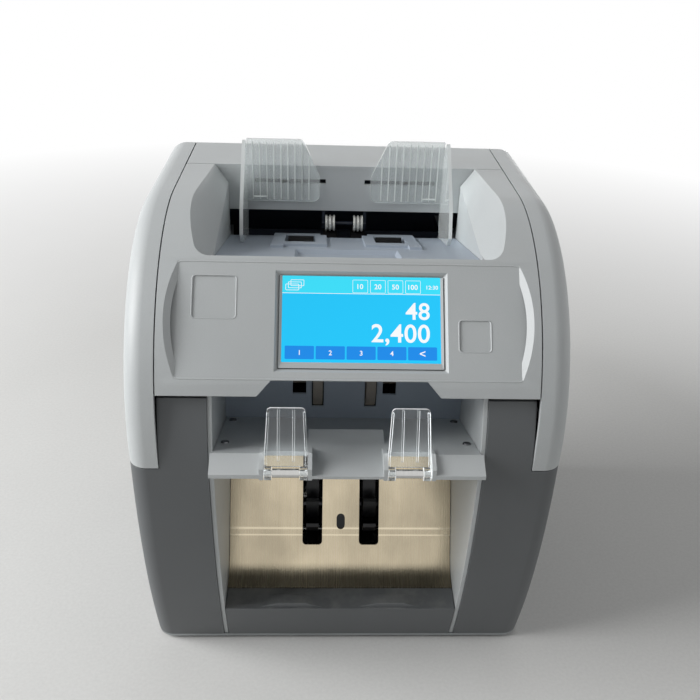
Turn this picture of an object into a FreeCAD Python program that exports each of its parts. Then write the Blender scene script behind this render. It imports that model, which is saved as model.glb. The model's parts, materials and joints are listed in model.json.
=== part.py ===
import FreeCAD, Part
import math
import os
import re
import Sketcher

# Banknote counting machine with two pockets: millimetres, +Z up, front towards -Y, origin under the middle.

Vector = FreeCAD.Vector
Rotation = FreeCAD.Rotation
Placement = FreeCAD.Placement

SIZES = {
    # Outer form
    "body_width": 265,
    "top_height": 310,
    "rear_reach": 130,
    "foot_height": 3,
    "foot_radius": 10,
    "foot_inset": 27,
    "foot_taper": 1,
    "vent_step": 14,
    "vent_wide": 6,
    "vent_front": 10,
    "vent_back": 24,
    "pan_thick": 2,
    "shell_wall": 3,
    "edge_round": 12,
    "rear_round": 14,
    "cover_wide": 19.5,
    "seam_gap": 0.8,
    "part_gap": 0.4,
    "boss_radius": 4,
    "boss_rise": 40,
    "boss_front": 12,
    "boss_back": 44,
    # Curves of the front
    "arc_radius": 121,
    "front_reach": 117,
    "belly_inset": 1,
    "belly_drop": 138,
    "lower_radius": 490,
    "upper_radius": 115,
    "cover_drop": 135.4,
    "pillar_gap": 5,
    "fascia_drop": 86,
    "fascia_rear": 62,
    # Display field
    "field_sink": 1.3,
    "field_drop": 73.5,
    "field_length": 64.4,
    "field_margin": 11.1,
    "field_flare": 52,
    "field_back": 2.6,
    "screen_x": 7,
    "screen_rise": 31.2,
    "screen_width": 98,
    "screen_height": 56.4,
    "screen_bevel": 2.2,
    "screen_gap": 0.3,
    "module_rim": 4,
    "module_thick": 4,
    "board_thick": 1.6,
    "pad_depth": 0.6,
    "pad_round": 2,
    "left_pad": 27,
    "left_pad_inset": 8,
    "left_pad_rise": 26,
    "right_pad": 18.5,
    "right_pad_inset": 36.5,
    "right_pad_rise": 14,
    "board_margin": 4,
    "arch_foot_width": 110,
    "arch_top_width": 90,
    "arch_rise": 10,
    # Hopper
    "well_front": -63,
    "well_wall": 2.4,
    "floor_drop": 22.9,
    "floor_slope": 13.5,
    "floor_thick": 5,
    "floor_end": 60,
    "floor_lift": 2,
    "bed_half": 51,
    "bed_inner": 13,
    "bed_front": 0,
    "bed_roller_front": 7,
    "thumb_half": 34,
    "thumb_back_y": -4,
    "thumb_deep": 3,
    "thumb_taper": 30,
    "pickup_opening_inner": 21,
    "pickup_opening_outer": 42,
    "mouth_front": -74.5,
    "mouth_margin": 6.6,
    "mouth_back_margin": 19.8,
    "mouth_round": 20,
    "mouth_depth": 26,
    "mouth_taper": 35,
    "plate_y": 62.6,
    "plate_thick": 2.4,
    "plate_drop": 33.4,
    "plate_margin": 14.6,
    "guide_slot_drop": 11.6,
    "guide_slot_high": 3.3,
    "guide_slot_inner": 14,
    "guide_slot_outer": 65,
    "guide_x": 71,
    "guide_thick": 2.4,
    "guide_front_y": 10,
    "guide_rise": 20,
    "guide_floor_gap": 1.2,
    "wing_thick": 1.8,
    "wing_inner": 18.4,
    "wing_drop": 26,
    "wing_rise": 19,
    "wing_slant": 12,
    "wing_round": 5,
    "wing_rib_step": 4.4,
    "wing_rib_wide": 0.8,
    "wing_rib_high": 0.6,
    "arm_inner": 40,
    "arm_wide": 6,
    "slide_gap": 0.35,
    "rack_module": 0.75,
    "rack_deep": 4,
    "rack_bar": 2.8,
    "pinion_post": 2,
    # Pockets between the pillars
    "bay_half": 80.8,
    "bay_wall": 2.8,
    "tray_back_y": -40,
    "tray_front_y": -118,
    "tray_front_z": 188.2,
    "tray_slope": 18,
    "tray_thick": 3,
    "tray_lip_out": 12,
    "tray_lip_drop": 7,
    "tray_lip_edge": 2.6,
    "tray_half": 82,
    "recess_back_y": -87,
    "recess_deep": 9,
    "back_wall_thick": 2,
    "screw_x": 75.3,
    "screw_front_y": -97,
    "screw_back_y": -48,
    "screw_radius": 2.6,
    "screw_high": 1.2,
    "ceiling_rise": 6,
    "ceiling_setback": 22,
    "wall_skirt": 14,
    # Clear stops
    "stop_x": 36.8,
    "stop_pin_y": -125.6,
    "stop_pin_z": 179.5,
    "stop_pin_radius": 1.5,
    "stop_lean": 18,
    "stop_length": 40,
    "stop_foot_half": 12.8,
    "stop_top_half": 11.2,
    "stop_plate": 2,
    "stop_rib": 1.2,
    "stop_rib_x": 4.5,
    "stop_round": 2.5,
    "stop_side": 4,
    "knuckle_radius": 4.2,
    "knuckle_long": 4.4,
    "cheek_thick": 2.4,
    "sleeve_radius": 2.7,
    "notch_back_y": -113,
    # Stacker pocket
    "sheet_corner_y": -64.1,
    "sheet_corner_z": 48.5,
    "sheet_lean": 28.4,
    "sheet_floor_angle": 17.6,
    "sheet_bend": 26,
    "sheet_floor_run": 16.2,
    "sheet_back_run": 100,
    "sheet_thick": 1.2,
    "sheet_slot_x": 20.6,
    "sheet_slot_wide": 14.3,
    "sheet_slot_foot": 63,
    "sheet_slot_top": 125,
    "sensor_hole_wide": 6,
    "sensor_hole_high": 10,
    "sensor_hole_z": 78,
    "sensor_wide": 12,
    "sensor_deep": 8,
    "sensor_tall": 16,
    "slot_round": 2.5,
    "lip_top_z": 41.8,
    "lip_top_deep": 14,
    "ramp_x": 34.5,
    "ramp_foot_half": 25.5,
    "ramp_top_half": 10,
    "ramp_rise": 3.5,
    "ramp_setback": 1.5,
    # Frame and shafts
    "frame_thick": 2,
    "frame_front": -60,
    "frame_rear": 84,
    "spacer_radius": 4,
    "shaft_radius": 4,
    "bearing_radius": 6.5,
    "bearing_long": 4,
    "run_gap": 0.05,
    "pickup_y": 33,
    "pickup_radius": 16,
    "pickup_reach": 1,
    "pickup_x": 31.2,
    "pickup_wide": 18,
    "feed_y": 66,
    "feed_radius": 12,
    "feed_wide": 10,
    "nip_drop": 50.6,
    "nip_gap": 0.5,
    "retard_radius": 6,
    "retard_wide": 7,
    "retard_x": 10.3,
    "retard_axle": 1.5,
    "hanger_thick": 2,
    "hanger_deep": 5,
    "hanger_foot": 4,
    "hanger_lap": 6,
    "path_y": 87.5,
    "path_gap": 4,
    "path_sheet": 1.5,
    "transport_z": 170,
    "transport_radius": 13,
    "transport_outer": 60,
    "transport_inner": 30,
    "transport_wide": 10,
    "bar_rise": 30,
    "bar_high": 20,
    "front_bar_deep": 16,
    "rear_bar_deep": 14,
    "pinch_radius": 7,
    "pinch_shaft": 2,
    "reject_y": -24,
    "reject_z": 186,
    "reject_radius": 19,
    "reject_x": 18,
    "reject_wide": 6.5,
    "wheel_run": 42,
    "wheel_radius": 36,
    "wheel_reach": 8,
    "wheel_wide": 9,
    "wheel_hub": 13,
    "finger_root_half": 1.6,
    "finger_tip_angle": 40,
    "finger_back_angle": 44,
    "pulley_radius": 10,
    "pulley_wide": 8,
    "pulley_x": 91,
    "belt_thick": 1.4,
    "belt_gap": 0.4,
    "motor_y": 32,
    "motor_z": 40,
    "motor_radius": 20,
    "motor_long": 54,
    "gate_y": 77,
    "gate_z": 112,
    # Rear
    "door_foot": 80,
    "hinge_inset": 9,
    "hinge_rise": 16,
    "ear_inset": 13,
    "hinge_rod": 2.5,
    "notch_rise": 7,
    "knuckle_wall": 2.5,
    "door_rib_x": 76,
    "door_rib": 3,
    "door_rib_rise": 24,
    "door_rib_drop": 8,
    "knuckle_inset": 22,
    "knuckle_wide": 6,
    "grip_half": 32,
    "grip_low": 52,
    "grip_high": 34,
    "grip_round": 6,
    "panel_thick": 1.5,
    "panel_setback": 2,
    "inlet_x": 62,
    "inlet_wide": 30,
    "inlet_high": 22,
    "inlet_deep": 22,
    "switch_x": 26,
    "switch_wide": 14,
    "switch_high": 22,
    "ports_z": 40,
    "port_gap": 0.4,
    "port_wall": 1.2,
    "port_deep": 14,
    "small_port_x": -40,
    "small_port_wide": 12,
    "small_port_high": 11,
    "large_port_x": -66,
    "large_port_wide": 16,
    "large_port_high": 13.4,
    "board_stand": 6,
    "board_front": -40,
    "board_foot": 70,
    "board_long": 100,
    "board_tall": 130,
    "board_post": 3,
    "board_post_inset": 6,
    "supply_left": 24,
    "supply_wide": 100,
    "supply_deep": 62,
    "supply_high": 42,
    "supply_gap": 8,
}

DERIVED = {
    "body_half": "body_width / 2",
    "pan_top": "foot_height + pan_thick",
    "arc_centre_y": "arc_radius - front_reach",
    "arc_centre_z": "top_height - arc_radius",
    "belly_y": "belly_inset - front_reach",
    "belly_z": "top_height - belly_drop",
    "cover_foot": "top_height - cover_drop",
    "fascia_foot": "top_height - fascia_drop",
    "pillar_top": "fascia_foot - pillar_gap",
    "ceiling_z": "fascia_foot + ceiling_rise",
    "seam_half": "body_half - cover_wide",
    "fascia_half": "seam_half - seam_gap / 2",
    "cover_inner": "seam_half + seam_gap / 2",
    "frame_inner": "bay_half + bay_wall",
    "frame_outer": "frame_inner + frame_thick",
    "floor_front_z": "top_height - floor_drop",
    "floor_start": "well_front + 2 * well_wall",
    "mouth_front_half": "fascia_half - mouth_margin",
    "mouth_back_half": "fascia_half - mouth_back_margin",
    "mouth_lean": "atan((mouth_front_half - mouth_back_half) / (fascia_rear - seam_gap / 2 - mouth_front))",
    "bay_rear": "reject_y - bearing_radius - part_gap",
    "door_front": "fascia_rear + seam_gap / 2",
    "field_half": "fascia_half - field_margin",
    "field_foot_z": "top_height - field_drop",
    "field_foot_y": "arc_centre_y - sqrt(arc_radius^2 - (field_foot_z - arc_centre_z)^2) + field_sink",
    "field_turn": "acos((field_foot_z - arc_centre_z) / arc_radius) - asin(field_length / (2 * arc_radius))",
    "sheet_turn": "90 - sheet_lean - sheet_floor_angle",
    "sheet_tangent": "sheet_bend * tan(sheet_turn / 2)",
    "stacker_behind": "wheel_radius - wheel_reach",
    "stacker_y": "sheet_corner_y + wheel_run * sin(sheet_lean) + stacker_behind * cos(sheet_lean)",
    "stacker_z": "sheet_corner_z + wheel_run * cos(sheet_lean) - stacker_behind * sin(sheet_lean)",
    "pickup_z": "floor_front_z - (pickup_y - well_front) * tan(floor_slope)"
                " - (pickup_radius - pickup_reach - floor_lift) / cos(floor_slope)",
    "nip_z": "top_height - nip_drop",
    "feed_z": "nip_z - feed_radius",
    "retard_z": "nip_z + nip_gap + retard_radius",
    "transport_y": "path_y - transport_radius - nip_gap / 2",
    "pinch_y": "path_y + pinch_radius + nip_gap / 2",
    "hinge_y": "rear_reach - hinge_inset",
    "hinge_z": "door_foot + hinge_rise",
    "panel_top": "hinge_z - sqrt(hinge_inset^2 + hinge_rise^2) - 2 * part_gap",
    "panel_rear": "rear_reach - panel_setback",
    "ear_x": "fascia_half - ear_inset",
    "plate_half": "fascia_half - plate_margin",
    "plate_foot_z": "top_height - plate_drop",
    "guide_slot_z": "top_height - guide_slot_drop",
    "guide_top_z": "top_height + guide_rise",
    "wing_foot_z": "top_height - wing_drop",
    "wing_top_z": "top_height + wing_rise",
    "rack_pitch": "3.14159265 * rack_module",
    "pinion_radius": "6 * rack_module",
    "rack_inner": "pinion_radius + rack_module * 0.95",
    "rack_outer": "rack_inner + rack_bar",
    "rack_y": "plate_y + plate_thick + 1.2",
    "wing_y": "door_front - part_gap - wing_thick",
    "guide_inner": "guide_x - guide_thick / 2",
    "recess_half": "stop_x - stop_foot_half - part_gap - cheek_thick",
    "tray_lip_y": "tray_front_y - tray_lip_out",
    "tray_lip_z": "tray_front_z - tray_lip_drop",
    "sheet_half": "bay_half - part_gap",
}

doc = FreeCAD.newDocument("BanknoteCounter")
sheet = doc.addObject("Spreadsheet::Sheet", "Sizes")
for row, (name, size) in enumerate(SIZES.items(), start=1):
    sheet.set("A%d" % row, name)
    sheet.set("B%d" % row, str(size))
    sheet.setAlias("B%d" % row, name)
doc.recompute()

WORD = re.compile(r"[a-z][a-z_]*[a-z]")
NODES = []


def expand(formula):
    """Write a formula of plain size names as an expression on the sheet."""
    def swap(match):
        word = match.group()
        if word in DERIVED:
            return "(" + expand(DERIVED[word]) + ")"
        return "Sizes." + word if word in SIZES else word
    return WORD.sub(swap, str(formula))


def number(formula):
    """Value of a formula with the sizes in the sheet."""
    result = sheet.evalExpression(expand(formula))
    return float(getattr(result, "Value", result))


def node(item, label):
    """Name a finished sub-part."""
    item.Label = label
    NODES.append(item)
    return item


# Curves shared by neighbouring pieces, as formulas

def arc_y(z, inset="0"):
    """Front surface of the upper body at a height, or a surface inset from it."""
    return f"(arc_centre_y - sqrt((arc_radius - ({inset}))^2 - (({z}) - arc_centre_z)^2))"


def arc_z(y, inset="0"):
    """Height of the upper body's front surface over a point."""
    return f"(arc_centre_z + sqrt((arc_radius - ({inset}))^2 - (({y}) - arc_centre_y)^2))"


def pillar_y(z, curve="upper_radius"):
    """Front surface of the pillars; it stands upright at the belly."""
    return f"(belly_y + {curve} - sqrt({curve}^2 - (({z}) - belly_z)^2))"


def floor_z(y):
    """Top of the sloping hopper floor."""
    return f"(floor_front_z - (({y}) - well_front) * tan(floor_slope))"


def tray_z(y):
    """Top of the sloping reject tray."""
    return f"(tray_front_z - (({y}) - tray_front_y) * tan(tray_slope))"


def on_sheet(run, off="0"):
    """Point on the upright run of the stacker sheet, off its front surface towards the back."""
    y = f"(sheet_corner_y + ({run}) * sin(sheet_lean) + ({off}) * cos(sheet_lean))"
    z = f"(sheet_corner_z + ({run}) * cos(sheet_lean) - ({off}) * sin(sheet_lean))"
    return y, z


def on_sheet_floor(run, off="0"):
    """Point on the floor run of the stacker sheet, off its top surface downwards."""
    y = f"(sheet_corner_y - ({run}) * cos(sheet_floor_angle) + ({off}) * sin(sheet_floor_angle))"
    z = f"(sheet_corner_z - ({run}) * sin(sheet_floor_angle) - ({off}) * cos(sheet_floor_angle))"
    return y, z


# Drawing and feature helpers

def new_body():
    return doc.addObject("PartDesign::Body", "Body")


def new_sketch(body, plane, offset="0"):
    """Empty sketch on one of the body's planes, moved along the plane's normal."""
    item = body.newObject("Sketcher::SketchObject", "Sketch")
    support = next(face for face in body.Origin.OriginFeatures if face.Role == plane + "_Plane")
    item.AttachmentSupport = [(support, "")]
    item.MapMode = "FlatFace"
    item.setExpression("AttachmentOffset.Base.z", expand(offset))
    return item


def tilted_sketch(body, y, z, angle):
    """Empty sketch on a plane turned about X: its own Y axis climbs at the angle."""
    item = new_sketch(body, "XY", z)
    item.AttachmentOffset = Placement(Vector(), Rotation(Vector(1, 0, 0), 45))
    item.setExpression("AttachmentOffset.Base.y", expand(y))
    item.setExpression("AttachmentOffset.Base.z", expand(z))
    item.setExpression("AttachmentOffset.Rotation.Angle", expand(angle))
    return item


def arc_between(start, end, radius, turn):
    """Arc of a circle from start to end, turning left or right on the way."""
    chord = end - start
    rise = math.sqrt(max(radius ** 2 - chord.Length ** 2 / 4, 0))
    normal = Vector(-chord.y, chord.x, 0).normalize()
    centre = (start + end) / 2 + normal * (rise if turn == "left" else -rise)
    first, last = (start, end) if turn == "left" else (end, start)
    angles = [math.atan2(p.y - centre.y, p.x - centre.x) for p in (first, last)]
    return Part.ArcOfCircle(Part.Circle(centre, Vector(0, 0, 1), radius), *angles)


def outline(item, points):
    """Closed, fully dimensioned outline. A point is (x, y), or (x, y, radius, turn) where an arc starts."""
    first = item.GeometryCount
    count = len(points)
    spots = [Vector(number(point[0]), number(point[1]), 0) for point in points]
    starts = []
    ends = []
    for index, point in enumerate(points):
        start = spots[index]
        end = spots[(index + 1) % count]
        forward = len(point) == 2 or point[3] == "left"
        starts.append(1 if forward else 2)
        ends.append(2 if forward else 1)
        if len(point) == 2:
            item.addGeometry(Part.LineSegment(start, end), False)
        else:
            item.addGeometry(arc_between(start, end, number(point[2]), point[3]), False)
    for index, point in enumerate(points):
        here = first + index
        after = (index + 1) % count
        item.addConstraint(Sketcher.Constraint("Coincident", here, ends[index], first + after, starts[after]))
        for kind, formula, value in (("DistanceX", point[0], spots[index].x),
                                     ("DistanceY", point[1], spots[index].y)):
            bound = item.addConstraint(Sketcher.Constraint(kind, -1, 1, here, starts[index], value))
            item.setExpression("Constraints[%d]" % bound, expand(formula))
        if len(point) > 2:
            bound = item.addConstraint(Sketcher.Constraint("Radius", here, number(point[2])))
            item.setExpression("Constraints[%d]" % bound, expand(point[2]))
    return item


def circle(item, x, y, radius):
    """Dimensioned circle in a sketch."""
    centre = Vector(number(x), number(y), 0)
    here = item.addGeometry(Part.Circle(centre, Vector(0, 0, 1), number(radius)), False)
    for kind, formula, value in (("DistanceX", x, centre.x), ("DistanceY", y, centre.y)):
        bound = item.addConstraint(Sketcher.Constraint(kind, -1, 1, here, 3, value))
        item.setExpression("Constraints[%d]" % bound, expand(formula))
    bound = item.addConstraint(Sketcher.Constraint("Radius", here, number(radius)))
    item.setExpression("Constraints[%d]" % bound, expand(radius))
    return item


def rectangle(x_low, y_low, x_high, y_high):
    """Corner points of an upright rectangle."""
    return [(x_low, y_low), (x_high, y_low), (x_high, y_high), (x_low, y_high)]


def rounded(x_low, y_low, x_high, y_high, radius):
    """Rectangle with round corners."""
    left, right = f"({x_low}) + ({radius})", f"({x_high}) - ({radius})"
    low, high = f"({y_low}) + ({radius})", f"({y_high}) - ({radius})"
    return [(left, y_low), (right, y_low, radius, "left"), (x_high, low), (x_high, high, radius, "left"),
            (right, y_high), (left, y_high, radius, "left"), (x_low, high), (x_low, low, radius, "left")]


def checked(item):
    """Recompute and stop at a feature that failed."""
    doc.recompute()
    if "Invalid" in item.State or "Error" in item.State:
        raise RuntimeError("failed feature %s in %s" % (item.Label, item.getParentGeoFeatureGroup().Label))
    return item


def pad(body, drawing, length, reverse=False, both=False, taper=None):
    """Add material along the drawing's normal."""
    item = body.newObject("PartDesign::Pad", "Pad")
    item.Profile = drawing
    item.setExpression("Length", expand(length))
    item.SideType = "Symmetric" if both else "One side"
    item.Reversed = reverse
    if taper:
        item.setExpression("TaperAngle", expand(taper))
    return checked(item)


def pocket(body, drawing, length=None, reverse=False, both=False, taper=None):
    """Take material away, against the drawing's normal unless reversed, and stop if nothing was cut."""
    before = body.Shape.Volume
    item = body.newObject("PartDesign::Pocket", "Pocket")
    item.Profile = drawing
    if length is None:
        item.Type = "ThroughAll"
    else:
        item.setExpression("Length", expand(length))
    item.SideType = "Symmetric" if both else "One side"
    item.Reversed = reverse
    if taper:
        item.setExpression("TaperAngle", expand(taper))
    checked(item)
    if body.Shape.Volume > before - 1e-3:
        raise RuntimeError("a pocket cut nothing")
    return item


def dress(body, kind, size, wanted):
    """Fillet or chamfer every edge of the body that the test picks."""
    base = body.Tip
    names = ["Edge%d" % (index + 1) for index, edge in enumerate(base.Shape.Edges) if wanted(edge)]
    if not names:
        raise RuntimeError("no edge to dress")
    item = body.newObject("PartDesign::" + kind, kind)
    item.Base = (base, names)
    item.setExpression("Radius" if kind == "Fillet" else "Size", expand(size))
    return checked(item)


def bind_place(item, x, y, z):
    """Tie an object's position to the sheet."""
    for axis, formula in (("x", x), ("y", y), ("z", z)):
        item.setExpression("Placement.Base." + axis, expand(formula))
    return item


def rod(radius, start, length, y, z):
    """Cylinder along X."""
    item = doc.addObject("Part::Cylinder", "Rod")
    item.setExpression("Radius", expand(radius))
    item.setExpression("Height", expand(length))
    item.Placement = Placement(Vector(), Rotation(Vector(0, 1, 0), 90))
    return bind_place(item, start, y, z)


def block(x_low, y_low, z_low, wide, deep, high):
    """Box by its low corner and its three sizes."""
    item = doc.addObject("Part::Box", "Block")
    for name, formula in (("Length", wide), ("Width", deep), ("Height", high)):
        item.setExpression(name, expand(formula))
    return bind_place(item, x_low, y_low, z_low)


def cut(base, tool):
    item = doc.addObject("Part::Cut", "Cut")
    item.Base = base
    item.Tool = tool
    return item


def join(items):
    item = doc.addObject("Part::MultiFuse", "Join")
    item.Shapes = items
    return item


def group(items):
    """Separate solids that share one node."""
    item = doc.addObject("Part::Compound", "Group")
    item.Links = items
    return item


def flat_at(edge, axis, value, least):
    """True for an edge that lies in a plane across the axis and is longer than the least length."""
    box = edge.BoundBox
    low, high = {"x": (box.XMin, box.XMax), "y": (box.YMin, box.YMax), "z": (box.ZMin, box.ZMax)}[axis]
    return abs(low - value) < 1e-4 and abs(high - value) < 1e-4 and edge.Length > least


# Base pan and feet

def make_base():
    body = new_body()
    front = pillar_y("pan_top", "lower_radius") + " + part_gap"
    plan = new_sketch(body, "XY", "foot_height")
    side = "(body_half - part_gap)"
    outline(plan, rounded("-" + side, front, side, "rear_reach - part_gap", "edge_round"))
    pad(body, plan, "pan_thick")
    vents = new_sketch(body, "XY", "foot_height")
    for step in range(-3, 4):
        middle = f"{step} * vent_step"
        outline(vents, rounded(f"{middle} - vent_wide / 2", "vent_front",
                               f"{middle} + vent_wide / 2", "vent_back", "vent_wide / 2 - 0.1"))
    pocket(body, vents, both=True)
    node(body, "base_pan")

    feet = []
    for side in (-1, 1):
        for y in (front + " + foot_inset", "rear_reach - foot_inset"):
            foot = doc.addObject("Part::Cone", "Foot")
            foot.setExpression("Radius1", expand("foot_radius - foot_taper"))
            foot.setExpression("Radius2", expand("foot_radius"))
            foot.setExpression("Height", expand("foot_height"))
            feet.append(bind_place(foot, f"{side} * (body_half - foot_inset)", y, "0"))
    node(group(feet), "rubber_feet")


# Outer shells

def shell_rounds(body, side):
    """Round the long outer edges of a side shell, inside and out."""
    inner = side * number("body_half - shell_wall")
    outer = side * number("body_half")
    least = number("shell_wall") * 2
    upright = number("pan_top")

    def long_edge(edge, plane):
        box = edge.BoundBox
        foot = box.ZLength < 1e-4 and box.ZMax < number("cover_foot") + 2
        return flat_at(edge, "x", plane, least) and not foot and box.ZMax > upright
    dress(body, "Fillet", "edge_round - shell_wall", lambda edge: long_edge(edge, inner))
    dress(body, "Fillet", "edge_round", lambda edge: long_edge(edge, outer))


def make_lower_housing(side, label):
    """Dark housing: the pillar's front and the lower side in one moulding."""
    body = new_body()
    flip = side < 0
    top = "cover_foot"
    edge_top = pillar_y(top)
    outer = new_sketch(body, "YZ", f"{side} * seam_half")
    outline(outer, [(pillar_y("pan_top", "lower_radius"), "pan_top"),
                    ("rear_reach", "pan_top"), ("rear_reach", top), (edge_top, top, "upper_radius", "left"),
                    ("belly_y", "belly_z", "lower_radius", "left")])
    pad(body, outer, "body_half - seam_half", reverse=flip)
    hollow = new_sketch(body, "YZ", f"{side} * seam_half")
    back = "rear_reach - shell_wall"
    low = "pan_top - shell_wall"
    outline(hollow, [(pillar_y(low, "lower_radius") + " + shell_wall", low), (back, low),
                     (back, top + " + 1"),
                     (pillar_y(top + " + 1") + " + shell_wall", top + " + 1", "upper_radius", "left"),
                     ("belly_y + shell_wall", "belly_z", "lower_radius", "left")])
    pocket(body, hollow, "body_half - seam_half - shell_wall", reverse=not flip)
    shell_rounds(body, side)
    strip = new_sketch(body, "YZ", f"{side} * frame_inner")
    tip = pillar_y("pillar_top")
    foot = pillar_y("pan_top", "lower_radius")
    outline(strip, [(foot, "pan_top"), (foot + " + shell_wall", "pan_top", "lower_radius", "right"),
                    ("belly_y + shell_wall", "belly_z", "upper_radius", "right"),
                    (tip + " + shell_wall", "pillar_top"), (tip, "pillar_top", "upper_radius", "left"),
                    ("belly_y", "belly_z", "lower_radius", "left")])
    pad(body, strip, "seam_half - frame_inner + 0.01", reverse=flip)
    node(body, label)


def make_side_cover(side, label):
    """Light upper side cover, screwed to the frame plate by two bosses."""
    body = new_body()
    flip = side < 0
    foot = "(cover_foot + seam_gap)"
    outer = new_sketch(body, "YZ", f"{side} * cover_inner")
    outline(outer, [(arc_y(foot), foot), ("rear_reach", foot),
                    ("rear_reach", "top_height - rear_round", "rear_round", "left"),
                    ("rear_reach - rear_round", "top_height"),
                    ("arc_centre_y", "top_height", "arc_radius", "left")])
    pad(body, outer, "body_half - cover_inner", reverse=flip)
    low = "(cover_foot - 1)"
    back = "rear_reach - shell_wall"
    hollow = new_sketch(body, "YZ", f"{side} * cover_inner")
    outline(hollow, [(arc_y(low, "shell_wall"), low), (back, low),
                     (back, "top_height - rear_round", "rear_round - shell_wall", "left"),
                     ("rear_reach - rear_round", "top_height - shell_wall"),
                     ("arc_centre_y", "top_height - shell_wall", "arc_radius - shell_wall", "left")])
    pocket(body, hollow, "body_half - cover_inner - shell_wall", reverse=not flip)
    shell_rounds(body, side)
    bosses = new_sketch(body, "YZ", f"{side} * frame_outer")
    for y in ("frame_front + boss_front", "frame_rear - boss_back"):
        circle(bosses, y, "cover_foot + boss_rise", "boss_radius")
    pad(body, bosses, "body_half - shell_wall - frame_outer + 0.01", reverse=flip)
    node(body, label)


def make_fascia():
    """Curved front cover with the sunk display field and the flared hopper mouth."""
    body = new_body()
    rear = "(fascia_rear - seam_gap / 2)"
    band = new_sketch(body, "YZ")
    outline(band, [(arc_y("fascia_foot"), "fascia_foot"), (arc_y("fascia_foot", "shell_wall"), "fascia_foot",
                                                          "arc_radius - shell_wall", "right"),
                   ("arc_centre_y", "top_height - shell_wall"), (rear, "top_height - shell_wall"),
                   (rear, "top_height"), ("arc_centre_y", "top_height", "arc_radius", "left")])
    pad(body, band, "2 * fascia_half", both=True)

    # Wall behind the flat display field
    wall = tilted_sketch(body, "field_foot_y", "field_foot_z", "field_turn")
    outline(wall, rectangle("-field_half - 5", "0.6", "field_half + 5", "field_length - 0.6"))
    pad(body, wall, "field_back", reverse=True)

    # Hopper well: a tapered mouth over straight walls
    beyond = f"({rear} + mouth_depth)"

    def mouth(grow):
        tangent = f"(mouth_round + {grow}) * cos(mouth_lean) / (1 - sin(mouth_lean))"
        edge = f"(mouth_front_half + {grow})"
        front = f"(mouth_front - {grow})"
        side_x = f"{edge} - {tangent} * sin(mouth_lean)"
        side_y = f"{front} + {tangent} * cos(mouth_lean)"
        back = f"mouth_back_half + {grow} - mouth_depth * tan(mouth_lean)"
        curve = f"mouth_round + {grow}"
        corner = f"{edge} - {tangent}"
        return [(f"-({back})", beyond), (f"-({side_x})", side_y, curve, "left"), (f"-({corner})", front),
                (corner, front, curve, "left"), (side_x, side_y), (back, beyond)]
    skin = new_sketch(body, "XY", "top_height")
    outline(skin, mouth("well_wall"))
    pad(body, skin, "mouth_depth", reverse=True, taper="-mouth_taper")
    well = new_sketch(body, "YZ")
    inset = "shell_wall / 2"
    outline(well, [("well_front", floor_z("well_front")), (rear, floor_z(rear)),
                   (rear, "top_height - " + inset),
                   ("arc_centre_y", "top_height - " + inset, "arc_radius - " + inset, "left"),
                   ("well_front", arc_z("well_front", inset))])
    pad(body, well, "2 * (frame_inner + well_wall)", both=True)
    flare = new_sketch(body, "XY", "top_height")
    outline(flare, mouth("0"))
    pocket(body, flare, "mouth_depth", taper="-mouth_taper")
    shaft = new_sketch(body, "XY", "top_height")
    outline(shaft, rectangle("-frame_inner", "floor_start", "frame_inner", rear + " + 1"))
    pocket(body, shaft)

    # Trim behind and to the outer curve, then sink the display field
    behind = new_sketch(body, "YZ")
    outline(behind, rectangle(rear, "fascia_foot", beyond + " + 1", "top_height + 1"))
    pocket(body, behind, both=True)
    over = new_sketch(body, "YZ")
    outline(over, [(arc_y("fascia_foot"), "fascia_foot"), ("arc_centre_y - 2 * arc_radius", "fascia_foot"),
                   ("arc_centre_y - 2 * arc_radius", "top_height + arc_radius"),
                   ("fascia_rear", "top_height + arc_radius"), ("fascia_rear", "top_height"),
                   ("arc_centre_y", "top_height", "arc_radius", "left")])
    pocket(body, over, both=True)
    field = tilted_sketch(body, "field_foot_y", "field_foot_z", "field_turn")
    outline(field, rectangle("-field_half", "-0.2 * field_length", "field_half", "1.2 * field_length"))
    pocket(body, field, "shell_wall * 3", reverse=True, taper="field_flare")

    # Window, its bevel and two shallow label squares
    window = tilted_sketch(body, "field_foot_y", "field_foot_z", "field_turn")
    outline(window, rectangle("screen_x - screen_width / 2", "screen_rise - screen_height / 2",
                              "screen_x + screen_width / 2", "screen_rise + screen_height / 2"))
    pocket(body, window, "field_back + 1")
    face = Placement(Vector(0, number("field_foot_y"), number("field_foot_z")),
                     Rotation(Vector(1, 0, 0), number("field_turn"))).inverse()
    half_wide = number("screen_width / 2") + 0.01
    half_high = number("screen_height / 2") + 0.01

    def window_edge(edge):
        spots = [face.multVec(vertex.Point) for vertex in edge.Vertexes]
        return all(abs(spot.z) < 1e-3 and abs(spot.x - number("screen_x")) < half_wide
                   and abs(spot.y - number("screen_rise")) < half_high for spot in spots)
    dress(body, "Chamfer", "screen_bevel", window_edge)
    labels = tilted_sketch(body, "field_foot_y", "field_foot_z", "field_turn")
    for x_low, y_low, size in (("(left_pad_inset - field_half)", "left_pad_rise", "left_pad"),
                               ("(field_half - right_pad_inset)", "right_pad_rise", "right_pad")):
        outline(labels, rounded(x_low, y_low, f"{x_low} + {size}", f"{y_low} + {size}", "pad_round"))
    pocket(body, labels, "pad_depth")

    # Arch in the lower edge over the reject pocket
    arch = new_sketch(body, "XZ")
    low = "fascia_foot - 1"
    crown = "fascia_foot + arch_rise"
    outline(arch, [("-arch_foot_width / 2", low), ("arch_foot_width / 2", low), ("arch_top_width / 2", crown),
                   ("-arch_top_width / 2", crown)])
    pocket(body, arch, both=True)
    node(body, "front_fascia")


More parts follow.
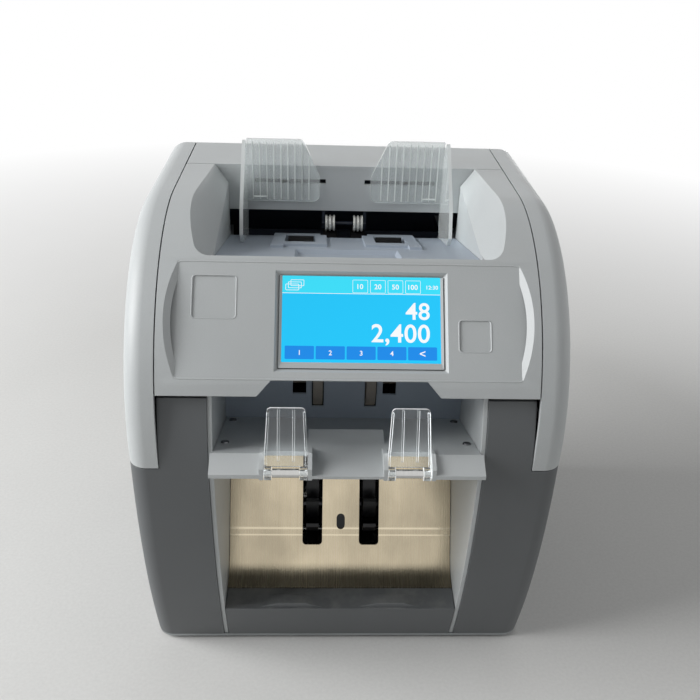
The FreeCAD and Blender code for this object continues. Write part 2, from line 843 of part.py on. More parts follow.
def make_display():
    """Touch display: a rim behind the field's wall, its glass standing in the window, and its board."""
    body = new_body()
    rim = tilted_sketch(body, "field_foot_y", "field_foot_z", "field_turn")
    low_x, high_x = "screen_x - screen_width / 2", "screen_x + screen_width / 2"
    low_y, high_y = "screen_rise - screen_height / 2", "screen_rise + screen_height / 2"
    rim.setExpression("AttachmentOffset.Base.y", expand("field_foot_y + field_back * sin(field_turn)"))
    rim.setExpression("AttachmentOffset.Base.z", expand("field_foot_z - field_back * cos(field_turn)"))
    outline(rim, rectangle(low_x + " - module_rim", low_y + " - module_rim / 2", high_x + " + module_rim",
                           high_y + " + module_rim / 2"))
    pad(body, rim, "module_thick", reverse=True)
    glass = tilted_sketch(body, "field_foot_y", "field_foot_z", "field_turn")
    outline(glass, rectangle(low_x + " + screen_gap", low_y + " + screen_gap", high_x + " - screen_gap",
                             high_y + " - screen_gap"))
    glass.setExpression("AttachmentOffset.Base.y", expand("field_foot_y + field_back * sin(field_turn)"))
    glass.setExpression("AttachmentOffset.Base.z", expand("field_foot_z - field_back * cos(field_turn)"))
    pad(body, glass, "field_back - screen_bevel + screen_gap")
    node(body, "touch_display")

    board = new_body()
    plate = tilted_sketch(board, "field_foot_y", "field_foot_z", "field_turn")
    behind = "(field_back + module_thick)"
    plate.setExpression("AttachmentOffset.Base.y", expand(f"field_foot_y + {behind} * sin(field_turn)"))
    plate.setExpression("AttachmentOffset.Base.z", expand(f"field_foot_z - {behind} * cos(field_turn)"))
    outline(plate, rectangle(low_x + " + board_margin", low_y + " + board_margin", high_x + " - board_margin",
                             high_y + " - board_margin"))
    pad(board, plate, "board_thick", reverse=True)
    node(board, "display_board")


# Hopper

def make_hopper_floor():
    """Sloping floor: a raised bed with roller openings, a thumb recess and a notch for the feed rollers."""
    body = new_body()
    under = " - floor_thick"
    profile = new_sketch(body, "YZ")
    outline(profile, [("floor_start", floor_z("floor_start")),
                      ("floor_start", floor_z("floor_start") + under),
                      ("floor_end", floor_z("floor_end") + under), ("floor_end", floor_z("floor_end"))])
    pad(body, profile, "2 * frame_inner", both=True)

    def along(y):
        return f"(({y}) - well_front) / cos(floor_slope)"
    bed = tilted_sketch(body, "well_front", "floor_front_z", "-floor_slope")
    corners = [("bed_inner", along("floor_end")), ("bed_inner", along("bed_roller_front")),
               ("pickup_opening_outer + part_gap", along("bed_roller_front")),
               ("pickup_opening_outer + part_gap", along("bed_front")), ("bed_half", along("bed_front")),
               ("bed_half", along("floor_end"))]
    outline(bed, corners)
    outline(bed, [(f"-({x})", y) for x, y in reversed(corners)])
    pad(body, bed, "floor_lift")

    openings = new_sketch(body, "XY", "top_height")
    for side in (-1, 1):
        ends = sorted((f"{side} * pickup_opening_inner", f"{side} * pickup_opening_outer"), key=number)
        outline(openings, rectangle(ends[0], "pickup_y - 0.95 * pickup_radius", ends[1],
                                    "pickup_y + 1.07 * pickup_radius"))
    notch = "(retard_x + feed_wide / 2 + 2)"
    outline(openings, rectangle(f"-{notch}", "feed_y - feed_radius - 1", notch, "floor_end + 1"))
    pocket(body, openings)
    thumb = tilted_sketch(body, "well_front", "floor_front_z", "-floor_slope")
    outline(thumb, rectangle("-thumb_half", "0", "thumb_half", along("thumb_back_y")))
    pocket(body, thumb, "thumb_deep", taper="-thumb_taper")
    node(body, "hopper_floor")


def make_back_plate():
    """Upright plate behind the notes, with the guide slots, the pinion post and the retard roller hangers."""
    body = new_body()
    face = new_sketch(body, "XZ", "-plate_y")
    outline(face, rectangle("-plate_half", "plate_foot_z", "plate_half", "top_height - shell_wall"))
    pad(body, face, "plate_thick", reverse=True)
    slots = new_sketch(body, "XZ", "-plate_y")
    low = "guide_slot_z - guide_slot_high / 2"
    high = "guide_slot_z + guide_slot_high / 2"
    outline(slots, rectangle("guide_slot_inner", low, "guide_slot_outer", high))
    outline(slots, rectangle("-guide_slot_outer", low, "-guide_slot_inner", high))
    pocket(body, slots, reverse=False)
    post = new_sketch(body, "XZ", "-plate_y - plate_thick")
    circle(post, "0", "guide_slot_z", "pinion_post")
    pad(body, post, "rack_deep + 2.4", reverse=True)
    hanger = "retard_x + retard_wide / 2 + part_gap"
    arms = new_sketch(body, "XZ", "-plate_y - plate_thick")
    for side in (-1, 1):
        outer = hanger + " + hanger_thick"
        ends = (hanger, outer) if side > 0 else (f"-({outer})", f"-({hanger})")
        outline(arms, rectangle(ends[0], "retard_z - hanger_foot", ends[1], "plate_foot_z + hanger_lap"))
    pad(body, arms, "hanger_deep", reverse=True)
    bores = new_sketch(body, "YZ")
    circle(bores, "feed_y", "retard_z", "retard_axle + run_gap")
    pocket(body, bores, both=True)
    node(body, "hopper_back_plate")


def make_guides():
    """Clear sliding guides: a blade beside the notes and a ribbed wing over the back plate."""
    for side, hand in ((-1, "left"), (1, "right")):
        flip = side < 0
        body = new_body()
        back = "wing_y + wing_thick"
        blade = new_sketch(body, "YZ", f"{side} * guide_inner")
        foot = "(" + floor_z("guide_front_y") + " + guide_floor_gap)"
        outline(blade, [("guide_front_y", f"{foot} + 6"),
                        ("guide_front_y + 5", floor_z("guide_front_y + 5") + " + guide_floor_gap"),
                        ("floor_end - 4", floor_z("floor_end - 4") + " + guide_floor_gap"),
                        (back, "wing_foot_z - 8"), (back, "guide_top_z - 14"), (back + " - 9", "guide_top_z"),
                        (back + " - 15", "guide_top_z - 3"), ("guide_front_y + 7", f"{foot} + 24")])
        pad(body, blade, "guide_thick", reverse=flip)
        wing = new_sketch(body, "XZ", f"-({back})")
        edge = "guide_inner + 0.2"
        points = [("wing_inner", "wing_foot_z"), (edge, "wing_foot_z"), (edge, "wing_top_z"),
                  ("wing_inner + wing_slant", "wing_top_z"), ("wing_inner", "wing_top_z - 2.2 * wing_slant")]
        if flip:
            points = [(f"-({x})", z) for x, z in points]
        outline(wing, points)
        pad(body, wing, "wing_thick")
        dress(body, "Fillet", "wing_round", lambda item, s=side: upright_corner(item, s))
        ribs = new_sketch(body, "XZ", "-wing_y")
        for step in range(9):
            x = f"(wing_inner + wing_slant + 1 + {step} * wing_rib_step)"
            ends = (x, x + " + wing_rib_wide") if side > 0 else (f"-{x} - wing_rib_wide", f"-{x}")
            outline(ribs, rectangle(ends[0], "wing_foot_z + 2", ends[1], "wing_top_z - 1"))
        pad(body, ribs, "wing_rib_high")
        arm = new_sketch(body, "XZ", f"-({back}) + 0.2")
        ends = ("arm_inner", "arm_inner + arm_wide") if side > 0 else ("-arm_inner - arm_wide", "-arm_inner")
        low = "guide_slot_z - guide_slot_high / 2 + slide_gap"
        high = "guide_slot_z + guide_slot_high / 2 - slide_gap"
        outline(arm, rectangle(ends[0], low, ends[1], high))
        pad(body, arm, f"rack_y - ({back}) + 0.2", reverse=True)
        node(body, hand + "_hopper_guide")
        make_rack(side, hand)


def upright_corner(edge, side):
    """Corners of a guide's wing that stand along Y near its inner side."""
    box = edge.BoundBox
    along_y = box.YLength > 0.5 and box.XLength < 1e-4 and box.ZLength < 1e-4
    inner = abs(box.XMin) < number("wing_inner + wing_slant") + 0.1
    return along_y and inner and box.ZMin > 0


def make_rack(side, hand):
    """Toothed bar behind the plate: the left one runs over the pinion, the right one under it."""
    body = new_body()
    over = 1 if side < 0 else -1
    bar = new_sketch(body, "XZ", "-rack_y")
    far = "arm_inner + arm_wide"
    reach = "6.5 * rack_pitch"

    def spot(x, z):
        return f"{side} * ({x})", f"guide_slot_z + {over} * ({z})"
    points = [spot(far, "-guide_slot_high / 2 + slide_gap"), spot(far, "rack_outer"),
              spot("-" + reach, "rack_outer"),
              spot("-" + reach, "rack_inner"), spot("arm_inner", "rack_inner"),
              spot("arm_inner", "-guide_slot_high / 2 + slide_gap")]
    outline(bar, points)
    pad(body, bar, "rack_deep", reverse=True)
    teeth = new_sketch(body, "XZ", "-rack_y")
    for step in range(-6, 9):
        x = f"({step} + 0.5) * rack_pitch"
        root = "rack_inner + 0.05"
        tip = "pinion_radius - rack_module * 0.8"
        outline(teeth, [spot(f"{x} - 0.3 * rack_pitch", root), spot(f"{x} + 0.3 * rack_pitch", root),
                        spot(f"{x} + 0.1 * rack_pitch", tip), spot(f"{x} - 0.1 * rack_pitch", tip)])
    pad(body, teeth, "rack_deep", reverse=True)
    node(body, hand + "_guide_rack")


def make_pinion():
    """Small gear that makes both guides move alike."""
    body = new_body()
    disc = new_sketch(body, "XZ", "-rack_y")
    circle(disc, "0", "0", "pinion_radius - rack_module")
    circle(disc, "0", "0", "pinion_post + run_gap")
    pad(body, disc, "rack_deep", reverse=True)
    tooth = new_sketch(body, "XZ", "-rack_y")
    outline(tooth, [("-0.27 * rack_pitch", "pinion_radius - rack_module * 1.2"),
                    ("0.27 * rack_pitch", "pinion_radius - rack_module * 1.2"),
                    ("0.1 * rack_pitch", "pinion_radius + rack_module * 0.7"),
                    ("-0.1 * rack_pitch", "pinion_radius + rack_module * 0.7")])
    first = pad(body, tooth, "rack_deep", reverse=True)
    ring = body.newObject("PartDesign::PolarPattern", "Ring")
    ring.Originals = [first]
    ring.Axis = (tooth, ["N_Axis"])
    ring.Angle = 360
    ring.Occurrences = 12
    body.Tip = ring
    checked(ring)
    bind_place(body, "0", "0", "guide_slot_z")
    node(body, "guide_pinion")


# Reject pocket

def make_bay_walls():
    for side, hand in ((-1, "left"), (1, "right")):
        body = new_body()
        profile = new_sketch(body, "YZ", f"{side} * bay_half")
        front = "shell_wall * 0.4"
        low = pillar_y("pan_top", "lower_radius")
        tip = pillar_y("pillar_top")
        outline(profile, [(f"{low} + {front}", "pan_top"), ("bay_rear", "pan_top"),
                          ("bay_rear", "ceiling_z"), (f"{tip} + {front}", "ceiling_z"),
                          (f"{tip} + {front}", "pillar_top", "upper_radius", "left"),
                          (f"belly_y + {front}", "belly_z", "lower_radius", "left")])
        pad(body, profile, "bay_wall", reverse=side < 0)
        node(body, hand + "_bay_wall")


def make_reject_tray():
    """Sloping tray with a turned-down lip, notches for the stops and a sunk finger recess."""
    body = new_body()
    inner = "(bay_half - part_gap)"
    drop = "tray_thick / cos(tray_slope)"
    profile = new_sketch(body, "YZ")
    outline(profile, [("tray_back_y", tray_z("tray_back_y")), ("tray_front_y", tray_z("tray_front_y")),
                      ("tray_front_y", f"{tray_z('tray_front_y')} - {drop}"),
                      ("tray_back_y", f"{tray_z('tray_back_y')} - {drop}")])
    pad(body, profile, f"2 * {inner}", both=True)
    lip = new_sketch(body, "YZ")
    outline(lip, [("tray_front_y + 0.5", tray_z("tray_front_y + 0.5")), ("tray_front_y", "tray_front_z"),
                  ("tray_lip_y", "tray_lip_z"), ("tray_lip_y", "tray_lip_z - tray_lip_edge"),
                  ("tray_front_y + 0.5", f"{tray_z('tray_front_y')} - {drop}")])
    pad(body, lip, "2 * tray_half", both=True)

    # Finger recess in the middle: its floor lies parallel under the tray and meets the lip's edge
    sunk = f"{drop} + recess_deep"
    shelf = new_sketch(body, "YZ")
    back = "recess_back_y + tray_thick"
    outline(shelf, [(back, tray_z(back)), ("tray_front_y", "tray_front_z"), ("tray_lip_y", "tray_lip_z"),
                    ("tray_lip_y", "tray_lip_z - tray_lip_edge"), (back, f"{tray_z(back)} - {sunk}")])
    pad(body, shelf, "2 * (recess_half + cheek_thick)", both=True)
    scoop = new_sketch(body, "YZ")
    outline(scoop, [("recess_back_y", f"{tray_z('recess_back_y')} + 30"),
                    ("tray_lip_y - 1", "tray_front_z + 30"),
                    ("tray_lip_y - 1", "tray_lip_z - tray_lip_edge / 3"),
                    ("recess_back_y", f"{tray_z('recess_back_y')} - {sunk} + tray_thick")])
    pocket(body, scoop, "2 * recess_half", both=True)

    # Notches for the stops, with cheeks that carry the pins
    notch_half = "(stop_foot_half + part_gap)"
    notches = new_sketch(body, "XY", "top_height")
    for side in (-1, 1):
        outline(notches, rectangle(f"{side} * stop_x - {notch_half}", "tray_lip_y - 1",
                                   f"{side} * stop_x + {notch_half}", "notch_back_y"))
    pocket(body, notches)
    for side in (-1, 1):
        for end in (-1, 1):
            start = f"{side} * stop_x + {end} * {notch_half}"
            cheek = new_sketch(body, "YZ", start)
            outline(cheek, [("tray_lip_y + 0.1", "stop_pin_z - 2"), ("notch_back_y + 3", "stop_pin_z + 2"),
                            ("notch_back_y + 3", "tray_front_z - 1"),
                            ("tray_front_y - 2", "tray_front_z + 2"),
                            ("tray_lip_y + 0.1", "tray_lip_z + 4")])
            pad(body, cheek, "cheek_thick", reverse=end < 0)
    pins = new_sketch(body, "YZ")
    circle(pins, "stop_pin_y", "stop_pin_z", "stop_pin_radius")
    pocket(body, pins, "2 * (stop_x + stop_foot_half + part_gap + cheek_thick) - 0.4", both=True)
    node(body, "reject_tray")


def make_reject_back():
    """Back wall of the reject pocket with its ceiling; notches let the wheels through."""
    body = new_body()
    profile = new_sketch(body, "YZ")
    rear = "tray_back_y + back_wall_thick"
    low = tray_z("tray_back_y") + " - wall_skirt"
    brow = "tray_front_y + ceiling_setback"
    outline(profile, [("tray_back_y", low), (rear, low), (rear, "ceiling_z + back_wall_thick"),
                      (brow, "ceiling_z + back_wall_thick"), (brow, "ceiling_z"), ("tray_back_y", "ceiling_z")])
    pad(body, profile, "2 * bay_half", both=True)
    slots = new_sketch(body, "XZ", "-tray_back_y - back_wall_thick / 2")
    for low, high, foot in ((14, 22, "reject_z - 14"), (26, 35, "reject_z - 4"), (47, 55, "reject_z + 8")):
        for side in (-1, 1):
            ends = (low, high) if side > 0 else (-high, -low)
            outline(slots, rectangle(ends[0], foot, ends[1], "ceiling_z - 6"))
    pocket(body, slots, "back_wall_thick * 4", both=True)
    node(body, "reject_back_wall")


def make_stops():
    """Clear hinged stops: a ribbed tongue on two knuckles, leaning back over the tray."""
    for side, hand in ((-1, "left"), (1, "right")):
        body = new_body()
        face = new_sketch(body, "XZ", "stop_plate / 2")
        waist = "knuckle_radius + 4"
        outline(face, [("-stop_foot_half", "0"), ("stop_foot_half", "0"), ("stop_foot_half", waist),
                       ("stop_top_half", "stop_length"), ("-stop_top_half", "stop_length"),
                       ("-stop_foot_half", waist)])
        pad(body, face, "stop_plate", reverse=True)
        dress(body, "Fillet", "stop_round", lambda edge: edge.BoundBox.ZMin > number("stop_length") - 1e-3
              and edge.BoundBox.XLength < 1e-3)
        for end in (-1, 1):
            rib = new_sketch(body, "YZ", f"{end} * stop_rib_x - stop_rib / 2")
            outline(rib, rectangle("-0.1", "knuckle_radius + 3", "stop_plate * 1.2", "stop_length - 1.5"))
            pad(body, rib, "stop_rib")
        for end in (-1, 1):
            wall = new_sketch(body, "XZ", "0")
            x_foot, x_top = f"{end} * stop_foot_half", f"{end} * stop_top_half"
            outline(wall, [(x_foot, "knuckle_radius"), (f"{x_foot} - {end} * stop_rib", "knuckle_radius"),
                           (f"{x_foot} - {end} * stop_rib", waist),
                           (f"{x_top} - {end} * stop_rib", "stop_length - 3"), (x_top, "stop_length - 3"),
                           (x_foot, waist)])
            pad(body, wall, "stop_side", reverse=True)
            barrel = new_sketch(body, "YZ", f"{end} * (stop_foot_half - knuckle_long)")
            circle(barrel, "0", "0", "knuckle_radius")
            pad(body, barrel, "knuckle_long", reverse=end < 0)
        gap = new_sketch(body, "XZ", "-stop_plate * 3")
        outline(gap, rectangle("-stop_foot_half + knuckle_long", "-1", "stop_foot_half - knuckle_long",
                               "knuckle_radius"))
        pocket(body, gap, "stop_plate * 6", reverse=True)
        bore = new_sketch(body, "YZ")
        circle(bore, "0", "0", "stop_pin_radius + run_gap")
        pocket(body, bore, both=True)
        body.Placement = Placement(Vector(), Rotation(Vector(1, 0, 0), -20))
        bind_place(body, f"{side} * stop_x", "stop_pin_y", "stop_pin_z")
        body.setExpression("Placement.Rotation.Angle", expand("-stop_lean"))
        node(body, hand + "_stop")
    pins = []
    for side in (-1, 1):
        reach = "(stop_foot_half + part_gap + cheek_thick)"
        pin = rod("stop_pin_radius", f"{side} * stop_x - {reach} + 0.3", f"2 * {reach} - 0.6", "stop_pin_y",
                  "stop_pin_z")
        long = "(stop_foot_half - knuckle_long - part_gap)"
        sleeve = rod("sleeve_radius", f"{side} * stop_x - {long}", f"2 * {long}", "stop_pin_y", "stop_pin_z")
        pins.append(join([pin, sleeve]))
    node(group(pins), "stop_pins")


def make_tray_screws():
    """Pan heads that hold the tray to its brackets."""
    heads = []
    corners = [(side, y) for side in (-1, 1) for y in ("screw_front_y", "screw_back_y")]
    for side, y in corners:
        head = doc.addObject("Part::Cylinder", "Screw")
        head.setExpression("Radius", expand("screw_radius"))
        head.setExpression("Height", expand("screw_high"))
        head.Placement = Placement(Vector(), Rotation(Vector(1, 0, 0), -number("tray_slope")))
        heads.append(bind_place(head, f"{side} * screw_x", y, tray_z(y)))
    node(group(heads), "tray_screws")


# Stacker pocket

def make_stacker_sheet():
    """Bent steel sheet behind and under the stacked notes."""
    body = new_body()
    profile = new_sketch(body, "YZ")
    outline(profile, [on_sheet_floor("sheet_floor_run"),
                      (*on_sheet_floor("sheet_tangent"), "sheet_bend", "left"),
                      on_sheet("sheet_tangent"), on_sheet("sheet_back_run"),
                      on_sheet("sheet_back_run", "sheet_thick"),
                      (*on_sheet("sheet_tangent", "sheet_thick"), "sheet_bend + sheet_thick", "right"),
                      on_sheet_floor("sheet_tangent", "sheet_thick"),
                      on_sheet_floor("sheet_floor_run", "sheet_thick")])
    pad(body, profile, "2 * sheet_half", both=True)
    holes = new_sketch(body, "XZ")
    for side in (-1, 1):
        outline(holes, rounded(f"{side} * sheet_slot_x - sheet_slot_wide / 2", "sheet_slot_foot",
                               f"{side} * sheet_slot_x + sheet_slot_wide / 2", "sheet_slot_top", "slot_round"))
    outline(holes, rounded("-sensor_hole_wide / 2", "sensor_hole_z - sensor_hole_high / 2",
                           "sensor_hole_wide / 2", "sensor_hole_z + sensor_hole_high / 2",
                           "sensor_hole_wide / 2 - 0.1"))
    pocket(body, holes, both=True)
    node(body, "stacker_plate")

    sensor = doc.addObject("Part::Box", "Sensor")
    sensor.setExpression("Length", expand("sensor_wide"))
    sensor.setExpression("Width", expand("sensor_deep"))
    sensor.setExpression("Height", expand("sensor_tall"))
    run = "((sensor_hole_z - sheet_corner_z) / cos(sheet_lean))"
    y, z = on_sheet(f"{run} - sensor_tall / 2", "sheet_thick")
    sensor.Placement = Placement(Vector(), Rotation(Vector(1, 0, 0), -number("sheet_lean")))
    bind_place(sensor, "-sensor_wide / 2", y, z)
    node(sensor, "stack_sensor")


def make_front_lip():
    """Lip in front of the stacker: its ledge carries the sheet, and two ramps lift the notes' edge."""
    body = new_body()
    profile = new_sketch(body, "YZ")
    foot = pillar_y("pan_top", "lower_radius")
    brow = pillar_y("lip_top_z", "lower_radius")
    end = on_sheet_floor("sheet_floor_run + part_gap")
    ledge = on_sheet_floor("sheet_floor_run + part_gap", "sheet_thick")
    heel = on_sheet_floor("sheet_tangent", "sheet_thick")
    outline(profile, [(foot, "pan_top"), (heel[0], "pan_top"), heel, ledge, end,
                      (brow, "lip_top_z", "lower_radius", "left")])
    pad(body, profile, "2 * (frame_inner - bay_wall - part_gap)", both=True)
    hollow = new_sketch(body, "YZ")
    outline(hollow, [(foot + " + shell_wall", "pan_top - 1"), (heel[0] + " + 1", "pan_top - 1"),
                     (heel[0] + " + 1", heel[1] + " - shell_wall"), (ledge[0], ledge[1] + " - shell_wall"),
                     (brow + " + shell_wall", "lip_top_z - shell_wall * 1.5")])
    pocket(body, hollow, "2 * (frame_inner - bay_wall - part_gap - shell_wall)", both=True)
    for side in (-1, 1):
        ramp = new_sketch(body, "XZ", f"-({brow} + ramp_setback)")
        middle = f"{side} * ramp_x"
        crest = "lip_top_z + ramp_rise"
        outline(ramp, [(f"{middle} - ramp_foot_half", "lip_top_z - 1"),
                       (f"{middle} + ramp_foot_half", "lip_top_z - 1"),
                       (f"{middle} + ramp_top_half", crest), (f"{middle} - ramp_top_half", crest)])
        pad(body, ramp, "lip_top_deep - 5", reverse=True)
    node(body, "front_lip")


# Frame, shafts and drive

SHAFTS = {
    "pickup": ("pickup_y", "pickup_z"),
    "feed": ("feed_y", "feed_z"),
    "transport": ("transport_y", "transport_z"),
    "reject": ("reject_y", "reject_z"),
    "stacker": ("stacker_y", "stacker_z"),
}
SPACERS = (("0", "30"), ("20", "215"), ("20", "130"))
LANES = ("-transport_outer", "-transport_inner", "transport_inner", "transport_outer")


def make_frame():
    """Two steel side plates with their spacers and the shafts' bearings."""
    for side, hand in ((-1, "left"), (1, "right")):
        body = new_body()
        plate = new_sketch(body, "YZ", f"{side} * frame_inner")
        outline(plate, [("frame_front", "pan_top"), ("frame_rear", "pan_top"),
                        ("frame_rear", floor_z("fascia_rear") + " - part_gap"),
                        ("fascia_rear", floor_z("fascia_rear") + " - part_gap"),
                        ("frame_front + 10", floor_z("frame_front + 10") + " - part_gap"),
                        ("frame_front", "pillar_top")])
        for y, z in SHAFTS.values():
            circle(plate, y, z, "bearing_radius")
        circle(plate, "gate_y", "gate_z", "pinch_shaft + run_gap")
        if side < 0:
            circle(plate, "motor_y", "motor_z", "shaft_radius * 2")
        pad(body, plate, "frame_thick", reverse=side < 0)
        node(body, hand + "_frame_plate")
    spacers = [rod("spacer_radius", "-frame_inner", "2 * frame_inner", y, z) for y, z in SPACERS]
    node(group(spacers), "frame_spacers")

    rings = []
    for y, z in SHAFTS.values():
        for side in (-1, 1):
            start = f"{side} * (frame_inner + frame_thick / 2) - bearing_long / 2"
            outer = rod("bearing_radius", start, "bearing_long", y, z)
            bore = rod("shaft_radius + run_gap", f"{start} - 1", "bearing_long + 2", y, z)
            rings.append(cut(outer, bore))
    node(group(rings), "shaft_bearings")


def make_shaft(label, y, z):
    """Shaft across the frame with its flanged belt pulley on the left end."""
    end = "frame_outer + bearing_long"
    length = f"pulley_x + pulley_wide + 2 + {end}"
    core = rod("shaft_radius", "-pulley_x - pulley_wide - 2", length, y, z)
    pulley = rod("pulley_radius", "-pulley_x - pulley_wide", "pulley_wide", y, z)
    flange = rod("pulley_radius + 2", "-pulley_x", "1", y, z)
    node(join([core, pulley, flange]), label)


def roller(x, wide, radius, y, z):
    """Roller pressed on a shaft, centred at x."""
    outer = rod(radius, f"({x}) - ({wide}) / 2", wide, y, z)
    bore = rod("shaft_radius", f"({x}) - ({wide}) / 2 - 1", f"{wide} + 2", y, z)
    return cut(outer, bore)


def make_shafts():
    for name, (y, z) in SHAFTS.items():
        make_shaft(name + "_shaft", y, z)
    pickup = [roller(f"{side} * pickup_x", "pickup_wide", "pickup_radius", *SHAFTS["pickup"])
              for side in (-1, 1)]
    node(group(pickup), "pickup_rollers")
    feed = [roller(f"{side} * retard_x", "feed_wide", "feed_radius", *SHAFTS["feed"]) for side in (-1, 1)]
    node(group(feed), "feed_rollers")
    transport = [roller(x, "transport_wide", "transport_radius", *SHAFTS["transport"]) for x in LANES]
    node(group(transport), "transport_rollers")
    reject = [roller(f"{side} * reject_x", "reject_wide", "reject_radius", *SHAFTS["reject"])
              for side in (-1, 1)]
    node(group(reject), "reject_wheels")


def make_stacker_wheel(x):
    """Stacking wheel: a hub with curved, slanting fingers."""
    body = new_body()
    hub = new_sketch(body, "YZ", "-wheel_wide / 2")
    circle(hub, "0", "0", "wheel_hub")
    circle(hub, "0", "0", "shaft_radius")
    pad(body, hub, "wheel_wide")
    finger = new_sketch(body, "YZ", "-wheel_wide / 2")
    root = "wheel_hub - 2"
    sweep = "wheel_radius * 0.62"
    tip = ("wheel_radius * sin(finger_tip_angle)", "wheel_radius * cos(finger_tip_angle)")
    blunt = "(wheel_radius - 0.6)"
    back = (f"{blunt} * sin(finger_back_angle)", f"{blunt} * cos(finger_back_angle)")
    outline(finger, [("-finger_root_half", root), ("finger_root_half", root, sweep, "right"), back,
                     (*tip, sweep, "left")])
    first = pad(body, finger, "wheel_wide")
    ring = body.newObject("PartDesign::PolarPattern", "Ring")
    ring.Originals = [first]
    ring.Axis = (finger, ["N_Axis"])
    ring.Angle = 360
    ring.Occurrences = 12
    body.Tip = ring
    checked(ring)
    return bind_place(body, x, "stacker_y", "stacker_z")


def make_drive():
    """Motor inside the left plate, its pulley and the belt round all pulleys."""
    inner = "-frame_inner"
    can = rod("motor_radius", inner, "motor_long", "motor_y", "motor_z")
    nose = rod("motor_radius * 0.55", f"{inner} + motor_long", "4", "motor_y", "motor_z")
    bore = rod("shaft_radius / 2 + run_gap", f"{inner} - 1", "motor_long / 2", "motor_y", "motor_z")
    node(cut(join([can, nose]), bore), "main_motor")
    reach = "pulley_x + pulley_wide + 2"
    spindle = rod("shaft_radius / 2", f"-({reach})", f"{reach} - frame_inner + 12", "motor_y", "motor_z")
    wheel = rod("pulley_radius", "-pulley_x - pulley_wide", "pulley_wide", "motor_y", "motor_z")
    flange = rod("pulley_radius + 2", "-pulley_x", "1", "motor_y", "motor_z")
    node(join([spindle, wheel, flange]), "motor_pulley")
    node(belt_loop(), "drive_belt")


def belt_ring(radius):
    """Face inside a loop that wraps equal circles on every pulley's axis."""
    route = [("motor_y", "motor_z"), SHAFTS["transport"], SHAFTS["feed"], SHAFTS["pickup"], SHAFTS["reject"],
             SHAFTS["stacker"]]
    x = -number("pulley_x + pulley_wide") + number("belt_gap")
    hubs = [Vector(x, number(y), number(z)) for y, z in route]
    edges = []
    count = len(hubs)
    turns = []
    for index in range(count):
        run = hubs[(index + 1) % count] - hubs[index]
        turns.append(Vector(0, run.z, -run.y).normalize() * radius)
    for index in range(count):
        hub = hubs[index]
        before = turns[index - 1]
        after = turns[index]
        middle = (before + after).normalize() * radius
        edges.append(Part.Arc(hub + before, hub + middle, hub + after).toShape())
        edges.append(Part.LineSegment(hub + after, hubs[(index + 1) % count] + after).toShape())
    return Part.Face(Part.Wire(edges))


def belt_loop():
    item = doc.addObject("Part::Feature", "Belt")
    inner = number("pulley_radius + belt_gap")
    outer = inner + number("belt_thick")
    width = Vector(number("pulley_wide - 1 - 2 * belt_gap"), 0, 0)
    item.Shape = belt_ring(outer).extrude(width).cut(belt_ring(inner).extrude(width))
    return item


def make_gate():
    """Diverter gate: pointed fingers on a thin shaft, turning between the two ways of the path."""
    axle = rod("pinch_shaft", "-frame_outer", "2 * frame_outer", "gate_y", "gate_z")
    pieces = [axle]
    for x in (-48, -16, 16, 48):
        finger = new_body()
        shape = new_sketch(finger, "YZ", f"{x} - 5")
        outline(shape, [("gate_y - 4", "gate_z - 3"), ("gate_y + 4", "gate_z - 3"),
                        ("gate_y + 7", "gate_z + 15"), ("gate_y + 6", "gate_z + 15"),
                        ("gate_y - 4", "gate_z + 4")])
        pad(finger, shape, "10")
        pieces.append(finger)
    node(join(pieces), "diverter_gate")


def make_path():
    """Front and rear sheets of the note path and their sensor bars."""
    front = new_body()
    face = "path_y - path_gap / 2"
    sheet_face = new_sketch(front, "XZ", f"-({face})")
    outline(sheet_face, rectangle("-frame_outer", "gate_z + 20", "frame_outer", "feed_z - feed_radius"))
    for x in LANES:
        outline(sheet_face, rectangle(f"{x} - 7", "transport_z - 10", f"{x} + 7", "transport_z + 10"))
    pad(front, sheet_face, f"{face} - frame_rear")
    node(front, "front_path_guide")
    bar = block("-frame_inner", "frame_rear - front_bar_deep", "transport_z + bar_rise", "2 * frame_inner",
                "front_bar_deep", "bar_high")
    node(bar, "front_sensor_bar")

    rear = new_body()
    back = "path_y + path_gap / 2"
    rear_face = new_sketch(rear, "XZ", f"-({back})")
    half = "door_rib_x + door_rib"
    outline(rear_face, rectangle(f"-({half})", "door_foot + door_rib_rise", half, "nip_z - door_rib_drop"))
    for x in LANES:
        outline(rear_face, rectangle(f"{x} - 7", "transport_z - 8", f"{x} + 7", "transport_z + 8"))
    pad(rear, rear_face, "path_sheet", reverse=True)
    node(rear, "rear_path_guide")
    bar = block("-door_rib_x", f"{back} + path_sheet", "transport_z + bar_rise",
                "2 * door_rib_x", "rear_bar_deep", "bar_high")
    node(bar, "rear_sensor_bar")

    axle = rod("pinch_shaft", f"-({half})", f"2 * ({half})", "pinch_y", "transport_z")
    wheels = [rod("pinch_radius", f"{x} - transport_wide / 2", "transport_wide", "pinch_y", "transport_z")
              for x in LANES]
    node(join([axle] + wheels), "pinch_rollers")

    hanger = "(retard_x + retard_wide / 2 + part_gap + hanger_thick)"
    pieces = [rod("retard_axle", f"-{hanger}", f"2 * {hanger}", "feed_y", "retard_z")]
    for side in (-1, 1):
        start = f"{side} * retard_x - retard_wide / 2"
        pieces.append(rod("retard_radius - 1", start, "retard_wide", "feed_y", "retard_z"))
        for ring in (0, 2, 4):
            left = f"{start} + {ring} * retard_wide / 5"
            pieces.append(rod("retard_radius", left, "retard_wide / 5", "feed_y", "retard_z"))
    node(join(pieces), "retard_rollers")


# Rear door, rear panel and electrics

